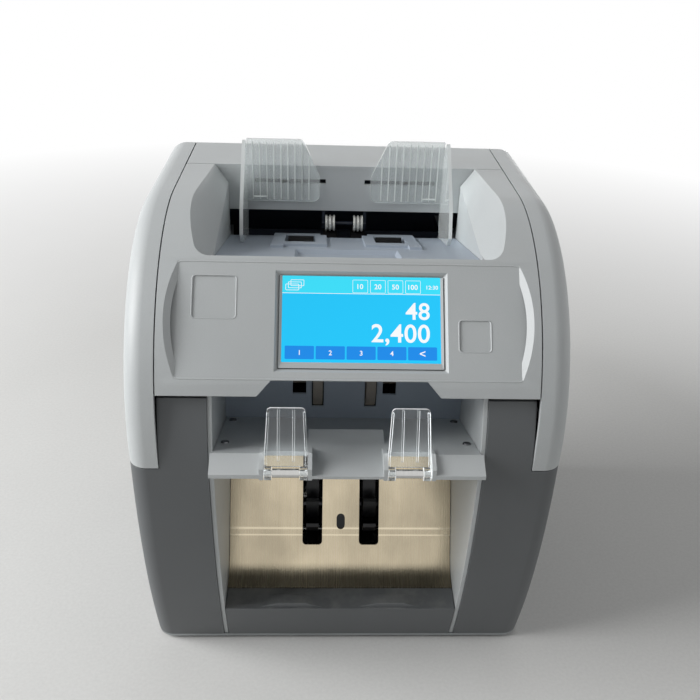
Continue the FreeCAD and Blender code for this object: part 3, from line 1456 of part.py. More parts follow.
def make_rear_door():
    """Door behind the note path: top and rear skin in one bend, with ribs, gussets and hinge knuckles."""
    body = new_body()
    skin = new_sketch(body, "YZ")
    outline(skin, [("door_front", "top_height - shell_wall"),
                   ("rear_reach - rear_round", "top_height - shell_wall", "rear_round - shell_wall", "right"),
                   ("rear_reach - shell_wall", "top_height - rear_round"),
                   ("rear_reach - shell_wall", "door_foot"), ("rear_reach", "door_foot"),
                   ("rear_reach", "top_height - rear_round", "rear_round", "left"),
                   ("rear_reach - rear_round", "top_height"), ("door_front", "top_height")])
    pad(body, skin, "2 * fascia_half", both=True)
    for side in (-1, 1):
        rib = new_sketch(body, "YZ", f"{side} * door_rib_x")
        front = "path_y + path_gap / 2 + path_sheet"
        low, high = "door_foot + door_rib_rise", "nip_z - door_rib_drop"
        outline(rib, [(front, low), ("rear_reach - 1", low), ("rear_reach - 1", high), (front, high)])
        circle(rib, "pinch_y", "transport_z", "pinch_shaft + run_gap")
        pad(body, rib, "door_rib", reverse=side < 0)
        knuckle = new_sketch(body, "YZ", f"{side} * (fascia_half - knuckle_inset)")
        reach = "hinge_rod + knuckle_wall"
        outline(knuckle, [(f"hinge_y - ({reach})", "hinge_z"), ("rear_reach - 1", "hinge_z"),
                          ("rear_reach - 1", f"hinge_z + 3 * ({reach})")])
        pad(body, knuckle, "knuckle_wide", reverse=side < 0)
        barrel = new_sketch(body, "YZ", f"{side} * (fascia_half - knuckle_inset)")
        circle(barrel, "hinge_y", "hinge_z", reach)
        pad(body, barrel, "knuckle_wide", reverse=side < 0)
    bore = new_sketch(body, "YZ")
    circle(bore, "hinge_y", "hinge_z", "hinge_rod + run_gap")
    pocket(body, bore, both=True)
    notches = new_sketch(body, "XZ", "-rear_reach")
    for side in (-1, 1):
        middle = f"{side} * (ear_x + panel_thick / 2)"
        outline(notches, rectangle(f"{middle} - panel_thick", "door_foot - 1", f"{middle} + panel_thick",
                                   "hinge_z + notch_rise"))
    pocket(body, notches, "2 * shell_wall", reverse=True)
    grip = new_sketch(body, "XZ", "-rear_reach")
    outline(grip, rounded("-grip_half", "top_height - grip_low", "grip_half",
                          "top_height - grip_high", "grip_round"))
    pocket(body, grip, "shell_wall * 0.6", reverse=True)
    node(body, "rear_door")
    pin = rod("hinge_rod", "-fascia_half + 10", "2 * fascia_half - 20", "hinge_y", "hinge_z")
    node(pin, "door_hinge_rod")


def make_rear_panel():
    """Fixed sheet under the door with the electrical openings; its ears carry the hinge rod."""
    body = new_body()
    face = new_sketch(body, "XZ", "-panel_rear")
    outline(face, rectangle("-fascia_half", "pan_top", "fascia_half", "panel_top"))
    for x, wide, high in (("inlet_x", "inlet_wide - 3", "inlet_high - 3"),
                          ("switch_x", "switch_wide - 2", "switch_high - 2"),
                          ("small_port_x", "small_port_wide + port_gap", "small_port_high + port_gap"),
                          ("large_port_x", "large_port_wide + port_gap", "large_port_high + port_gap")):
        outline(face, rectangle(f"{x} - ({wide}) / 2", f"ports_z - ({high}) / 2", f"{x} + ({wide}) / 2",
                                f"ports_z + ({high}) / 2"))
    pad(body, face, "panel_thick")
    for side in (-1, 1):
        ear = new_sketch(body, "YZ", f"{side} * ear_x")
        front = "panel_rear - panel_thick"
        outline(ear, [("hinge_y - 12", "pan_top"), (front, "pan_top"), (front, "panel_top - 1"),
                      ("hinge_y + hinge_rod + knuckle_wall", "hinge_z"),
                      ("hinge_y", "hinge_z + hinge_rod + knuckle_wall"), ("hinge_y - 8", "hinge_z"),
                      ("hinge_y - 12", "hinge_z - 12")])
        circle(ear, "hinge_y", "hinge_z", "hinge_rod")
        pad(body, ear, "panel_thick", reverse=side < 0)
    node(body, "rear_panel")


def make_electrics():
    """Power inlet, switch, data sockets, main board and power supply."""
    front = "panel_rear"
    inlet = new_body()
    flange = new_sketch(inlet, "XZ", f"-({front})")
    outline(flange, rounded("inlet_x - inlet_wide / 2", "ports_z - inlet_high / 2",
                            "inlet_x + inlet_wide / 2", "ports_z + inlet_high / 2", "3"))
    pad(inlet, flange, "panel_setback", reverse=True)
    shell = new_sketch(inlet, "XZ", f"-({front})")
    outline(shell, rectangle("inlet_x - inlet_wide / 2 + 1.6", "ports_z - inlet_high / 2 + 1.6",
                             "inlet_x + inlet_wide / 2 - 1.6", "ports_z + inlet_high / 2 - 1.6"))
    pad(inlet, shell, "inlet_deep")
    socket = new_sketch(inlet, "XZ", f"-({front}) - panel_setback")
    outline(socket, [("inlet_x - 12", "ports_z - 8"), ("inlet_x + 12", "ports_z - 8"),
                     ("inlet_x + 12", "ports_z + 3"), ("inlet_x + 7", "ports_z + 8"),
                     ("inlet_x - 7", "ports_z + 8"), ("inlet_x - 12", "ports_z + 3")])
    pocket(inlet, socket, "inlet_deep - 4", reverse=True)
    pins = new_sketch(inlet, "XZ", f"-({front}) + inlet_deep - 5")
    for x, z in (("inlet_x - 7", "ports_z - 2"), ("inlet_x", "ports_z + 2"), ("inlet_x + 7", "ports_z - 2")):
        outline(pins, rectangle(f"{x} - 1", f"{z} - 2", f"{x} + 1", f"{z} + 2"))
    pad(inlet, pins, "inlet_deep - 8", reverse=True)
    node(inlet, "power_inlet")

    switch = new_body()
    frame = new_sketch(switch, "XZ", f"-({front})")
    low_x, high_x = "switch_x - switch_wide / 2", "switch_x + switch_wide / 2"
    low_z, high_z = "ports_z - switch_high / 2", "ports_z + switch_high / 2"
    outline(frame, rectangle(low_x, low_z, high_x, high_z))
    pad(switch, frame, "panel_setback * 0.5", reverse=True)
    case = new_sketch(switch, "XZ", f"-({front})")
    outline(case, rectangle(low_x + " + 1.2", low_z + " + 1.2", high_x + " - 1.2", high_z + " - 1.2"))
    pad(switch, case, "16")
    well = new_sketch(switch, "XZ", f"-({front}) - panel_setback")
    outline(well, rectangle(low_x + " + 2.2", low_z + " + 2.2", high_x + " - 2.2", high_z + " - 2.2"))
    pocket(switch, well, "10", reverse=True)
    pivot = new_sketch(switch, "YZ", "switch_x")
    circle(pivot, f"{front} - 4", "ports_z", "1.2")
    pad(switch, pivot, "switch_wide - 3", both=True)
    node(switch, "switch_housing")

    rocker = new_body()
    paddle = new_sketch(rocker, "YZ", "switch_x")
    reach = "(switch_high / 2 - 4)"
    outline(paddle, [(f"{front} - 6", "ports_z - 4"), (f"{front} - 6", "ports_z + 4"),
                     (f"{front} + 0.2", f"ports_z + {reach}"), (f"{front} + 0.8", "ports_z"),
                     (f"{front} + 1.6", f"ports_z - {reach}")])
    circle(paddle, f"{front} - 4", "ports_z", "1.2 + run_gap")
    pad(rocker, paddle, "switch_wide - 5.4", both=True)
    node(rocker, "power_rocker")

    ports = []
    for port in ("small_port", "large_port"):
        left = f"{port}_x - {port}_wide / 2"
        low = f"ports_z - {port}_high / 2"
        outer = block(left, f"{front} - port_deep", low, f"{port}_wide", "port_deep + 1", f"{port}_high")
        mouth = block(left + " + port_wall", f"{front} - port_deep + 4", low + " + port_wall",
                      f"{port}_wide - 2 * port_wall", "port_deep + 1", f"{port}_high - 2 * port_wall")
        ports.append(cut(outer, mouth))
    node(group(ports), "data_ports")

    board = block("frame_outer + board_stand", "board_front", "board_foot",
                  "board_thick", "board_long", "board_tall")
    posts = [rod("board_post", "frame_outer", "board_stand", y, z)
             for y in ("board_front + board_post_inset", "board_front + board_long - board_post_inset")
             for z in ("board_foot + board_post_inset", "board_foot + board_tall - board_post_inset")]
    on_board = "frame_outer + board_stand + board_thick"
    chips = [block(on_board, f"board_front + {y}", f"board_foot + {z}", high, deep, tall)
             for y, z, high, deep, tall in ((30, 50, 2, 24, 24), (66, 22, 10, 20, 36), (10, 80, 9, 12, 40))]
    node(join([board] + posts + chips), "main_board")

    front_of_case = "(panel_rear - inlet_deep - supply_gap - supply_deep)"
    case = block("-supply_left", front_of_case, "pan_top", "supply_wide", "supply_deep", "supply_high")
    vents = [block(f"-supply_left + 8 + {step} * 12", front_of_case + " + 4", "pan_top + supply_high - 1",
                   "5", "supply_deep - 8", "4") for step in range(8)]
    node(cut(case, join(vents)), "power_supply")


def main():
    make_base()
    for side, hand in ((-1, "left"), (1, "right")):
        make_lower_housing(side, hand + "_lower_housing")
        make_side_cover(side, hand + "_side_cover")
    make_fascia()
    make_display()
    make_hopper_floor()
    make_back_plate()
    make_guides()
    make_pinion()
    make_bay_walls()
    make_reject_tray()
    make_reject_back()
    make_stops()
    make_tray_screws()
    make_stacker_sheet()
    make_front_lip()
    make_frame()
    make_shafts()
    node(group([make_stacker_wheel(f"{side} * sheet_slot_x") for side in (-1, 1)]), "stacker_wheels")
    make_drive()
    make_gate()
    make_path()
    make_rear_door()
    make_rear_panel()
    make_electrics()
    doc.recompute()

    for item in doc.Objects:
        if "Invalid" in item.State or "Error" in item.State:
            raise RuntimeError("failed object: " + item.Label)
    for item in NODES:
        if item.Shape.isNull() or not item.Shape.isValid():
            raise RuntimeError("bad shape: " + item.Label)
    os.makedirs("parts", exist_ok=True)
    for item in NODES:
        item.Shape.exportStep("parts/" + item.Label + ".step")
    print(len(NODES), "sub-parts written")


main()
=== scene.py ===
import json
import math

import bmesh
import bpy
from bpy.props import FloatProperty, FloatVectorProperty, IntProperty, PointerProperty
from mathutils import Matrix, Vector
from mathutils.bvhtree import BVHTree

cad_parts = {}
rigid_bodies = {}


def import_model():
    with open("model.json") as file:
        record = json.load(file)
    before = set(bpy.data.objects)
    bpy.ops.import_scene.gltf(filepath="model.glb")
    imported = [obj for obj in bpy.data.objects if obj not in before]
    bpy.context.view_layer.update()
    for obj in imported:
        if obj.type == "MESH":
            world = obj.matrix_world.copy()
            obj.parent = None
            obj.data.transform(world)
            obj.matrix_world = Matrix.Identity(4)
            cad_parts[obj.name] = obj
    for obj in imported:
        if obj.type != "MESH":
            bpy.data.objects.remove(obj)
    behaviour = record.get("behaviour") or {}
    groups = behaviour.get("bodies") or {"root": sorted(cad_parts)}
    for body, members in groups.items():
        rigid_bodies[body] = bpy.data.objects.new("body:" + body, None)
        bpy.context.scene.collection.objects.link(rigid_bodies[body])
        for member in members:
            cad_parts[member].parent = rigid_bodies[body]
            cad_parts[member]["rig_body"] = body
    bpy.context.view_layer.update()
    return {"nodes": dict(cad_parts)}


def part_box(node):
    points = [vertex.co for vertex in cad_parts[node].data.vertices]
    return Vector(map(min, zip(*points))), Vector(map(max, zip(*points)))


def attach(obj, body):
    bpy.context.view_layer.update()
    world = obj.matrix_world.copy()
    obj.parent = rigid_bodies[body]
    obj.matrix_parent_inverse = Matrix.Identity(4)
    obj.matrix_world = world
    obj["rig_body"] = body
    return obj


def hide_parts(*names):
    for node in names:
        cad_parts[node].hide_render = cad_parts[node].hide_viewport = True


bl_info = {
    "name": "Banknote counter looks",
    "version": (1, 0, 0),
    "blender": (4, 5, 0),
    "location": "View3D > Sidebar > Counter",
    "description": "Finishes, display layout and small details of a two-pocket banknote counter",
    "category": "Object",
}

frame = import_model()
NODES = frame["nodes"]

# Materials by name, filled as the finishes are made
FINISH = {}

RIGHT = Vector((1.0, 0.0, 0.0))
BACK = Vector((0.0, 1.0, 0.0))
UP = Vector((0.0, 0.0, 1.0))
BLACK = (0.0, 0.0, 0.0)
WHITE = (1.0, 1.0, 1.0)

# Width of the camera's frame in millimetres, and the photo's focal length and width in pixels
FRAME_WIDTH = 36.0
FOCAL_PIXELS = 850.0
PHOTO_PIXELS = 700.0


def tone(red, green, blue):
    """A colour given in 0 to 255 display steps, as the linear values that shaders take."""
    steps = [value / 255.0 for value in (red, green, blue)]
    return tuple(s / 12.92 if s <= 0.04045 else ((s + 0.055) / 1.055) ** 2.4 for s in steps)


def lifted(colour, gain, offset=0.0):
    """A lighter or darker colour."""
    return tuple(min(1.0, channel * gain + offset) for channel in colour)


# Settings


def colour_property(name, description, *steps):
    return FloatVectorProperty(name=name, description=description, default=tone(*steps), size=3,
                               subtype="COLOR", min=0.0, max=1.0)


def length_property(name, description, default, least=0.0):
    return FloatProperty(name=name, description=description, default=default, min=least, unit="LENGTH")


def angle_property(name, description, degrees):
    return FloatProperty(name=name, description=description, default=math.radians(degrees), subtype="ANGLE")


def power_property(name, description, default):
    return FloatProperty(name=name, description=description, default=default, min=0.0, unit="POWER")


class CounterColours(bpy.types.PropertyGroup):
    light_shell: colour_property("Light shell", "Moulded plastic of the covers and trays", 186, 190, 191)
    # Partly painted shade: the hopper floor and reject back wall take a darker, cooler grey than the light
    # plastic
    pocket_shell: colour_property("Pocket shell", "Cooler plastic of the hopper floor and reject back wall",
                                  166, 176, 188)
    dark_shell: colour_property("Dark shell", "Moulded plastic of the lower housings", 89, 92, 94)
    black: colour_property("Black plastic", "Wheels and fittings", 12, 13, 16)
    # Painted shade: this near-black also covers faces where shade falls in the throat, such as the rear
    # door's inside and the retard rollers' axle
    throat: colour_property("Throat", "Dark parts of the note path behind the hopper floor", 8, 20, 36)
    white: colour_property("White plastic", "Racks, pinion and retard rollers", 226, 226, 220)
    clear: colour_property("Clear plastic", "Polished note stops", 246, 249, 250)
    frosted: colour_property("Frosted plastic", "Translucent hopper guides", 232, 236, 236)
    brushed: colour_property("Brushed sheet", "Curved sheet of the stacker", 222, 208, 180)
    zinc: colour_property("Zinc sheet", "Frame plates, base, rear panel and power supply", 172, 176, 178)
    steel: colour_property("Bright steel", "Shafts, bearings, pins and rear screws", 205, 205, 203)
    dark_steel: colour_property("Dark steel", "Tray screws and the reject and stacker shafts", 96, 97, 100)
    rubber: colour_property("Rubber", "Rollers, belt and feet", 9, 9, 10)
    # Partly wear and partly painted light: the reject wheels are made much lighter to stand in for light
    # that their shadowed place doesn't get
    worn_rubber: colour_property("Worn rubber", "Wheels at the back of the reject tray", 150, 143, 134)
    board: colour_property("Circuit board", "Solder mask", 20, 84, 48)
    screen: colour_property("Screen", "Lit background of the display", 22, 202, 255)
    button: colour_property("Screen button", "Touch keys along the bottom of the display", 10, 140, 236)
    digits: colour_property("Screen digits", "Figures and lines on the display", 250, 253, 255)
    floor: colour_property("Floor", "Plain pale floor", 222, 222, 220)


class CounterSizes(bpy.types.PropertyGroup):
    shell_round: length_property("Shell edge", "Rounding of the moulded outer edges", 0.0006)
    small_round: length_property("Small edge", "Rounding of the smaller moulded pieces", 0.0003)
    lit_width: length_property("Lit width", "Width of the lit part of the display", 0.0942)
    lit_height: length_property("Lit height", "Height of the lit part of the display", 0.0521)
    lit_rise: length_property("Lit rise", "Height of the lit part's middle above that of the glass",
                              0.00175, least=-0.01)
    label_lift: length_property("Label lift", "How far up the fascia the left label place is shown",
                                0.0056, least=-0.01)
    label_scale: FloatProperty(name="Label scale", default=0.94, min=0.5, max=1.0,
                               description="Size at which the left label place is shown")
    bead_width: length_property("Bead width", "Width of the bead round the display field", 0.0011,
                                least=0.0001)
    bead_height: length_property("Bead height", "Height of the bead round the display field", 0.00035)
    layer: length_property("Layer", "Height of one layer of the display picture", 0.00004)
    rib_step: length_property("Rib step", "Distance between the ribs of a hopper guide", 0.005, least=0.001)
    rib_width: length_property("Rib width", "Width of a rib of a hopper guide", 0.0007, least=0.0001)
    rib_depth: length_property("Rib depth", "Height of a rib above the wing of a hopper guide", 0.0005,
                               least=0.0001)
    notes: IntProperty(name="Notes", description="Number of notes that the display shows", default=48,
                       min=0)
    total: IntProperty(name="Total", description="Sum that the display shows", default=2400, min=0)


class CounterView(bpy.types.PropertyGroup):
    place: FloatVectorProperty(name="Camera place", description="Where the camera stands", unit="LENGTH",
                               default=(-0.0204, -0.5333, 0.4859), subtype="TRANSLATION")
    pitch: angle_property("Pitch", "Angle of the view below level", 28.62)
    yaw: angle_property("Yaw", "Turn of the view to the right", 2.70)
    roll: angle_property("Roll", "Tilt of the view about its own axis", -1.985)
    lens: FloatProperty(name="Lens", description="Focal length in millimetres on a 36 mm frame",
                        default=FOCAL_PIXELS / PHOTO_PIXELS * FRAME_WIDTH, min=1.0)
    key_power: power_property("Key light", "Power of the large light at the left", 37.0)
    fill_power: power_property("Fill light", "Power of the soft light at the right", 4.5)
    back_power: power_property("Back light", "Power of the soft light behind", 5.0)
    ambient: FloatProperty(name="Ambient", description="Level of the light from all round",
                           default=0.22, min=0.0, max=1.0)


# Shader wiring


class Wiring:
    """Adds shader nodes to one tree and joins their sockets."""

    def __init__(self, tree):
        self.tree = tree

    def add(self, kind, sockets=None, **settings):
        node = self.tree.nodes.new("ShaderNode" + kind)
        for name, value in settings.items():
            setattr(node, name, value)
        for name, value in (sockets or {}).items():
            self.put(value, node.inputs[name])
        return node

    def put(self, value, socket):
        if isinstance(value, bpy.types.NodeSocket):
            self.tree.links.new(value, socket)
        elif socket.type == "RGBA" and len(value) == 3:
            socket.default_value = (*value, 1.0)
        else:
            socket.default_value = value

    def feed(self, node, **values):
        """Sets or joins sockets of a node, with an underscore for each space in their names."""
        for name, value in values.items():
            self.put(value, node.inputs[name.replace("_", " ")])

    def group(self, effect, **values):
        """Adds the shader group of an effect, which is made on first use, and gives its outputs."""
        name = effect.__name__.replace("_", " ")
        node = self.tree.nodes.new("ShaderNodeGroup")
        node.node_tree = bpy.data.node_groups.get(name) or effect(name)
        self.feed(node, **values)
        return node.outputs

    def place(self):
        """Coordinates in metres, the same for every piece of the machine."""
        return self.add("TexCoord").outputs["Object"]

    def axes(self, vector):
        return self.add("SeparateXYZ", {"Vector": vector}).outputs

    def stretched(self, vector, scale):
        return self.add("Mapping", {"Vector": vector, "Scale": scale}).outputs["Vector"]

    def noise(self, vector, scale, detail=2.0, roughness=0.5):
        sockets = {"Vector": vector, "Scale": scale, "Detail": detail, "Roughness": roughness}
        return self.add("TexNoise", sockets).outputs["Fac"]

    def math(self, operation, first, *others):
        """An operation on one value, or taken over several from the first to the last."""
        if not others:
            return self.add("Math", {0: first}, operation=operation).outputs[0]
        for other in others:
            first = self.add("Math", {0: first, 1: other}, operation=operation).outputs[0]
        return first

    def plus(self, *values):
        return self.math("ADD", *values)

    def minus(self, value, less):
        return self.math("SUBTRACT", value, less)

    def times(self, *values):
        return self.math("MULTIPLY", *values)

    def most(self, *values):
        return self.math("MAXIMUM", *values)

    def span(self, value, low, high, new_low=0.0, new_high=1.0):
        sockets = {"Value": value, "From Min": low, "From Max": high, "To Min": new_low, "To Max": new_high}
        return self.add("MapRange", sockets).outputs["Result"]

    def drifting(self, value, noise, spread):
        """A value that goes up and down with a noise."""
        return self.plus(value, self.times(self.minus(noise, 0.5), spread))

    def mix(self, factor, first, second, blend="MIX"):
        node = self.add("Mix", data_type="RGBA", blend_type=blend)
        for value, index in ((factor, 0), (first, 6), (second, 7)):
            self.put(value, node.inputs[index])
        return node.outputs[2]

    def shaded(self, colour, level):
        """A colour made darker by a varying level."""
        grey = self.add("CombineColor", {"Red": level, "Green": level, "Blue": level}).outputs[0]
        return self.mix(1.0, colour, grey, "MULTIPLY")

    def bump(self, shader, height, strength, distance):
        node = self.add("Bump", {"Height": height, "Strength": strength, "Distance": distance})
        self.put(node.outputs["Normal"], shader.inputs["Normal"])

    def seen(self):
        """Whether a ray comes from the camera, off something glossy or through something clear."""
        path = self.add("LightPath").outputs
        return self.most(path["Is Camera Ray"], path["Is Glossy Ray"], path["Is Transmission Ray"])


COLOUR = "NodeSocketColor"
NUMBER = "NodeSocketFloat"
ARROW = "NodeSocketVector"


def shader_group(name, inputs, outputs):
    """An empty shader group with those sockets, its wiring, its inputs and its closing node."""
    tree = bpy.data.node_groups.new(name, "ShaderNodeTree")
    for direction, sockets in (("INPUT", inputs), ("OUTPUT", outputs)):
        for label, kind in sockets.items():
            tree.interface.new_socket(label, in_out=direction, socket_type=kind)
    start = tree.nodes.new("NodeGroupInput")
    end = tree.nodes.new("NodeGroupOutput")
    return tree, Wiring(tree), start.outputs, end


def moulded_grain(name):
    """Spark-eroded mould texture with slow changes of shade and gloss."""
    inputs = dict(Colour=COLOUR, Mottle=NUMBER, Roughness=NUMBER, Spread=NUMBER, Grain=NUMBER)
    outputs = dict(Colour=COLOUR, Roughness=NUMBER, Height=NUMBER)
    tree, wire, start, end = shader_group(name, inputs, outputs)
    place = wire.place()
    slow = wire.noise(place, scale=14.0, detail=3.0)
    fine = wire.noise(place, start["Grain"], roughness=0.6)
    cells = wire.add("TexVoronoi", {"Vector": place, "Scale": start["Grain"]}).outputs["Distance"]
    shade = wire.span(slow, 0.3, 0.7, wire.minus(1.0, start["Mottle"]), wire.plus(1.0, start["Mottle"]))
    speck = wire.span(fine, 0.3, 0.7, 0.97, 1.03)
    wire.feed(end, Colour=wire.shaded(start["Colour"], wire.times(shade, speck)),
              Roughness=wire.drifting(start["Roughness"], slow, start["Spread"]),
              Height=wire.plus(fine, wire.times(cells, 0.6)))
    return tree


def settled_dust(name):
    """A thin pale film on faces that look upward, broken up by wiping."""
    inputs = dict(Colour=COLOUR, Dust=COLOUR, Amount=NUMBER)
    tree, wire, start, end = shader_group(name, inputs, dict(Colour=COLOUR, Mask=NUMBER))
    upward = wire.span(wire.axes(wire.add("NewGeometry").outputs["Normal"])["Z"], 0.35, 1.0)
    patches = wire.span(wire.noise(wire.place(), scale=42.0, detail=4.0, roughness=0.65), 0.42, 0.75)
    mask = wire.times(upward, patches, start["Amount"])
    wire.feed(end, Colour=wire.mix(mask, start["Colour"], start["Dust"]), Mask=mask)
    return tree


def hair_scratches(name):
    """Sparse fine scratches in two crossing directions."""
    tree, wire, start, end = shader_group(name, dict(Amount=NUMBER), dict(Mask=NUMBER))
    place = wire.place()
    lines = []
    for stretch in ((900.0, 30.0, 60.0), (40.0, 700.0, 900.0)):
        streaks = wire.noise(wire.stretched(place, stretch), scale=1.0, detail=1.0)
        lines.append(wire.span(streaks, 0.66, 0.74))
    patches = wire.span(wire.noise(place, scale=30.0), 0.5, 0.7)
    wire.feed(end, Mask=wire.times(wire.most(*lines), patches, start["Amount"]))
    return tree


def brushed_lines(name):
    """Long fine lines left by brushing or turning, with their own gloss."""
    inputs = dict(Colour=COLOUR, Stretch=ARROW, Contrast=NUMBER, Roughness=NUMBER, Spread=NUMBER)
    outputs = dict(Colour=COLOUR, Roughness=NUMBER, Height=NUMBER)
    tree, wire, start, end = shader_group(name, inputs, outputs)
    place = wire.place()
    lines = wire.noise(wire.stretched(place, start["Stretch"]), scale=1.0, detail=4.0, roughness=0.7)
    clouds = wire.span(wire.noise(place, scale=22.0), 0.3, 0.7, 0.94, 1.0)
    streaks = wire.span(lines, 0.25, 0.75, wire.minus(1.0, start["Contrast"]), 1.0)
    wire.feed(end, Colour=wire.shaded(start["Colour"], wire.times(streaks, clouds)),
              Roughness=wire.drifting(start["Roughness"], lines, start["Spread"]), Height=lines)
    return tree


def lit_pixels(name):
    """A lit picture: fine columns of pixels and a backlight that fades a little to one corner."""
    columns_per_metre = 5000.0
    left, right, foot, head = -0.042, 0.056, 0.239, 0.284
    tree, wire, start, end = shader_group(name, dict(Colour=COLOUR, Fade=NUMBER), dict(Colour=COLOUR))
    axes = wire.axes(wire.place())
    columns = wire.math("PINGPONG", wire.times(axes["X"], columns_per_metre), 1.0)
    across = wire.span(axes["X"], left, right, 0.5, 0.0)
    upward = wire.span(axes["Z"], foot, head, 0.0, 0.5)
    corner = wire.times(wire.plus(across, upward), start["Fade"])
    level = wire.times(wire.minus(1.0, corner), wire.span(columns, 0.0, 1.0, 0.95, 1.0))
    wire.feed(end, Colour=wire.shaded(start["Colour"], level))
    return tree


# Finishes

DUST = tone(190, 188, 182)
TIN = tone(206, 206, 200)

# Greatest height, in metres, of the grain of a mould, of brushed lines and of a circuit board's tracks
GRAIN_HEIGHT = 0.00004
LINE_HEIGHT = 0.00002
TRACK_HEIGHT = 0.00005

# Stretch of the noise that makes brushed, rolled and turned lines
UPRIGHT = (4200.0, 9.0, 9.0)
ROLLED = (30.0, 500.0, 500.0)
TURNED = (2400.0, 60.0, 60.0)


def empty_finish(name, **constants):
    """Keeps a new material with one principled shader, whose plain values are set on its own sockets."""
    material = bpy.data.materials.new(name)
    FINISH[name] = material
    material.use_nodes = True
    material.node_tree.nodes.clear()
    wire = Wiring(material.node_tree)
    shader = wire.add("BsdfPrincipled")
    wire.feed(shader, **constants)
    wire.add("OutputMaterial", {"Surface": shader.outputs["BSDF"]})
    return wire, shader


def moulded(name, colour, roughness, mottle=0.04, grain=1900.0, depth=0.25, dust=0.12, shine=0.5):
    """Moulded plastic or rubber with grain, a little dust and handling scratches."""
    wire, shader = empty_finish(name, Specular_IOR_Level=shine)
    grained = wire.group(moulded_grain, Colour=colour, Mottle=mottle, Roughness=roughness, Spread=0.12,
                         Grain=grain)
    dusty = wire.group(settled_dust, Colour=grained["Colour"], Dust=DUST, Amount=dust)
    marks = wire.group(hair_scratches, Amount=0.5)["Mask"]
    dulled_by_dust = wire.times(dusty["Mask"], 0.5)
    dulled_by_marks = wire.times(marks, 0.15)
    wire.feed(shader, Base_Color=dusty["Colour"],
              Roughness=wire.plus(grained["Roughness"], dulled_by_dust, dulled_by_marks))
    wire.bump(shader, wire.minus(grained["Height"], wire.times(marks, 1.5)), depth, GRAIN_HEIGHT)


def metal(name, colour, stretch, roughness, contrast):
    """Bare metal with rolled or turned lines."""
    wire, shader = empty_finish(name, Metallic=1.0)
    lines = wire.group(brushed_lines, Colour=colour, Stretch=stretch, Contrast=contrast,
                       Roughness=roughness, Spread=0.25)
    marks = wire.group(hair_scratches, Amount=0.6)["Mask"]
    wire.feed(shader, Base_Color=lines["Colour"],
              Roughness=wire.plus(lines["Roughness"], wire.times(marks, 0.2)))
    wire.bump(shader, lines["Height"], strength=0.2, distance=LINE_HEIGHT)


def bent_sheet(name, colour):
    """Brushed stainless sheet: slow changes of tint, painted highlight lines at the bend, painted shade at
    its foot.
    """
    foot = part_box("stacker_plate")[0].z
    # The sheet starts to bend forward at the lower of two painted highlight lines, given by height and half
    # width
    bend = foot + 0.0268
    painted_highlight_lines = ((bend, 0.0007), (bend + 0.0043, 0.0010))
    # Painted shade: the colour is darkened over the lowest few millimetres of the sheet, down to this level
    # at the foot
    painted_shade_start, painted_shade_end, painted_shade_level = foot + 0.004, foot + 0.0095, 0.42
    wire, shader = empty_finish(name, Metallic=1.0)
    lines = wire.group(brushed_lines, Colour=colour, Stretch=UPRIGHT, Contrast=0.3, Roughness=0.26,
                       Spread=0.3)
    place = wire.place()
    height = wire.axes(place)["Z"]
    clouds = wire.noise(wire.stretched(place, (1.0, 1.0, 0.45)), scale=26.0, detail=3.0, roughness=0.55)
    tint = wire.times(wire.span(clouds, 0.35, 0.68), 0.75)
    toned = wire.mix(tint, lines["Colour"], lifted(colour, 0.5))
    # Painted shade towards the foot of the sheet
    painted_foot_shade = wire.span(height, painted_shade_start, painted_shade_end, painted_shade_level, 1.0)
    toned = wire.shaded(toned, painted_foot_shade)
    bands = []
    for level, half in painted_highlight_lines:
        bands.append(wire.span(wire.math("ABSOLUTE", wire.minus(height, level)), 0.0, half, 1.0, 0.0))
    painted_highlight = wire.most(*bands)
    # Painted highlight: the colour is lifted to a lighter tone along the two lines at the bend
    wire.feed(shader, Base_Color=wire.mix(wire.times(painted_highlight, 0.5), toned, lifted(colour, 1.25, 0.1)),
              Roughness=wire.minus(lines["Roughness"], wire.times(painted_highlight, 0.08)))
    wire.bump(shader, lines["Height"], strength=0.25, distance=LINE_HEIGHT)


def see_through(name, colour, roughness, weight, shadow, scratch=0.02, painted_glow=0.0):
    """Clear or frosted plastic whose shadow lets light through; a cut edge can be given a painted glow."""
    wire, shader = empty_finish(name, Transmission_Weight=weight, IOR=1.49, Emission_Color=WHITE,
                                Emission_Strength=painted_glow)
    grained = wire.group(moulded_grain, Colour=colour, Mottle=0.01, Roughness=roughness, Spread=roughness,
                         Grain=1500.0)
    marks = wire.group(hair_scratches, Amount=scratch)["Mask"]
    shade = wire.add("LightPath").outputs["Is Shadow Ray"]
    wire.feed(shader, Base_Color=grained["Colour"], Roughness=wire.plus(grained["Roughness"], marks),
              Alpha=wire.minus(1.0, wire.times(shade, shadow)))


def lit(name, colour, fade=0.08):
    """One colour of the display picture."""
    wire, shader = empty_finish(name, Emission_Strength=1.0, Base_Color=BLACK, Roughness=0.12,
                                Specular_IOR_Level=0.2)
    wire.feed(shader, Emission_Color=wire.group(lit_pixels, Colour=colour, Fade=fade)["Colour"])


def board_finish(name, colour):
    """Solder mask with copper tracks that show through it and tinned pads."""
    wire, shader = empty_finish(name)
    place = wire.place()
    bricks = {"Vector": wire.stretched(place, (160.0, 160.0, 160.0)), "Color1": BLACK, "Color2": WHITE,
              "Mortar": (0.5, 0.5, 0.5), "Scale": 1.0, "Mortar Size": 0.06}
    grid = wire.add("TexBrick", bricks).outputs["Color"]
    tracks = wire.add("SeparateColor", {"Color": grid}).outputs["Red"]
    dots = wire.add("TexVoronoi", {"Vector": place, "Scale": 260.0}).outputs["Distance"]
    pads = wire.span(dots, 0.12, 0.16, 1.0, 0.0)
    masked = wire.mix(wire.span(tracks, 0.4, 0.6, 0.0, 0.5), colour, lifted(colour, 1.9, 0.01))
    wire.feed(shader, Base_Color=wire.mix(pads, masked, TIN), Metallic=pads,
              Roughness=wire.span(tracks, 0.0, 1.0, 0.28, 0.4))
    wire.bump(shader, wire.plus(tracks, pads), strength=0.3, distance=TRACK_HEIGHT)


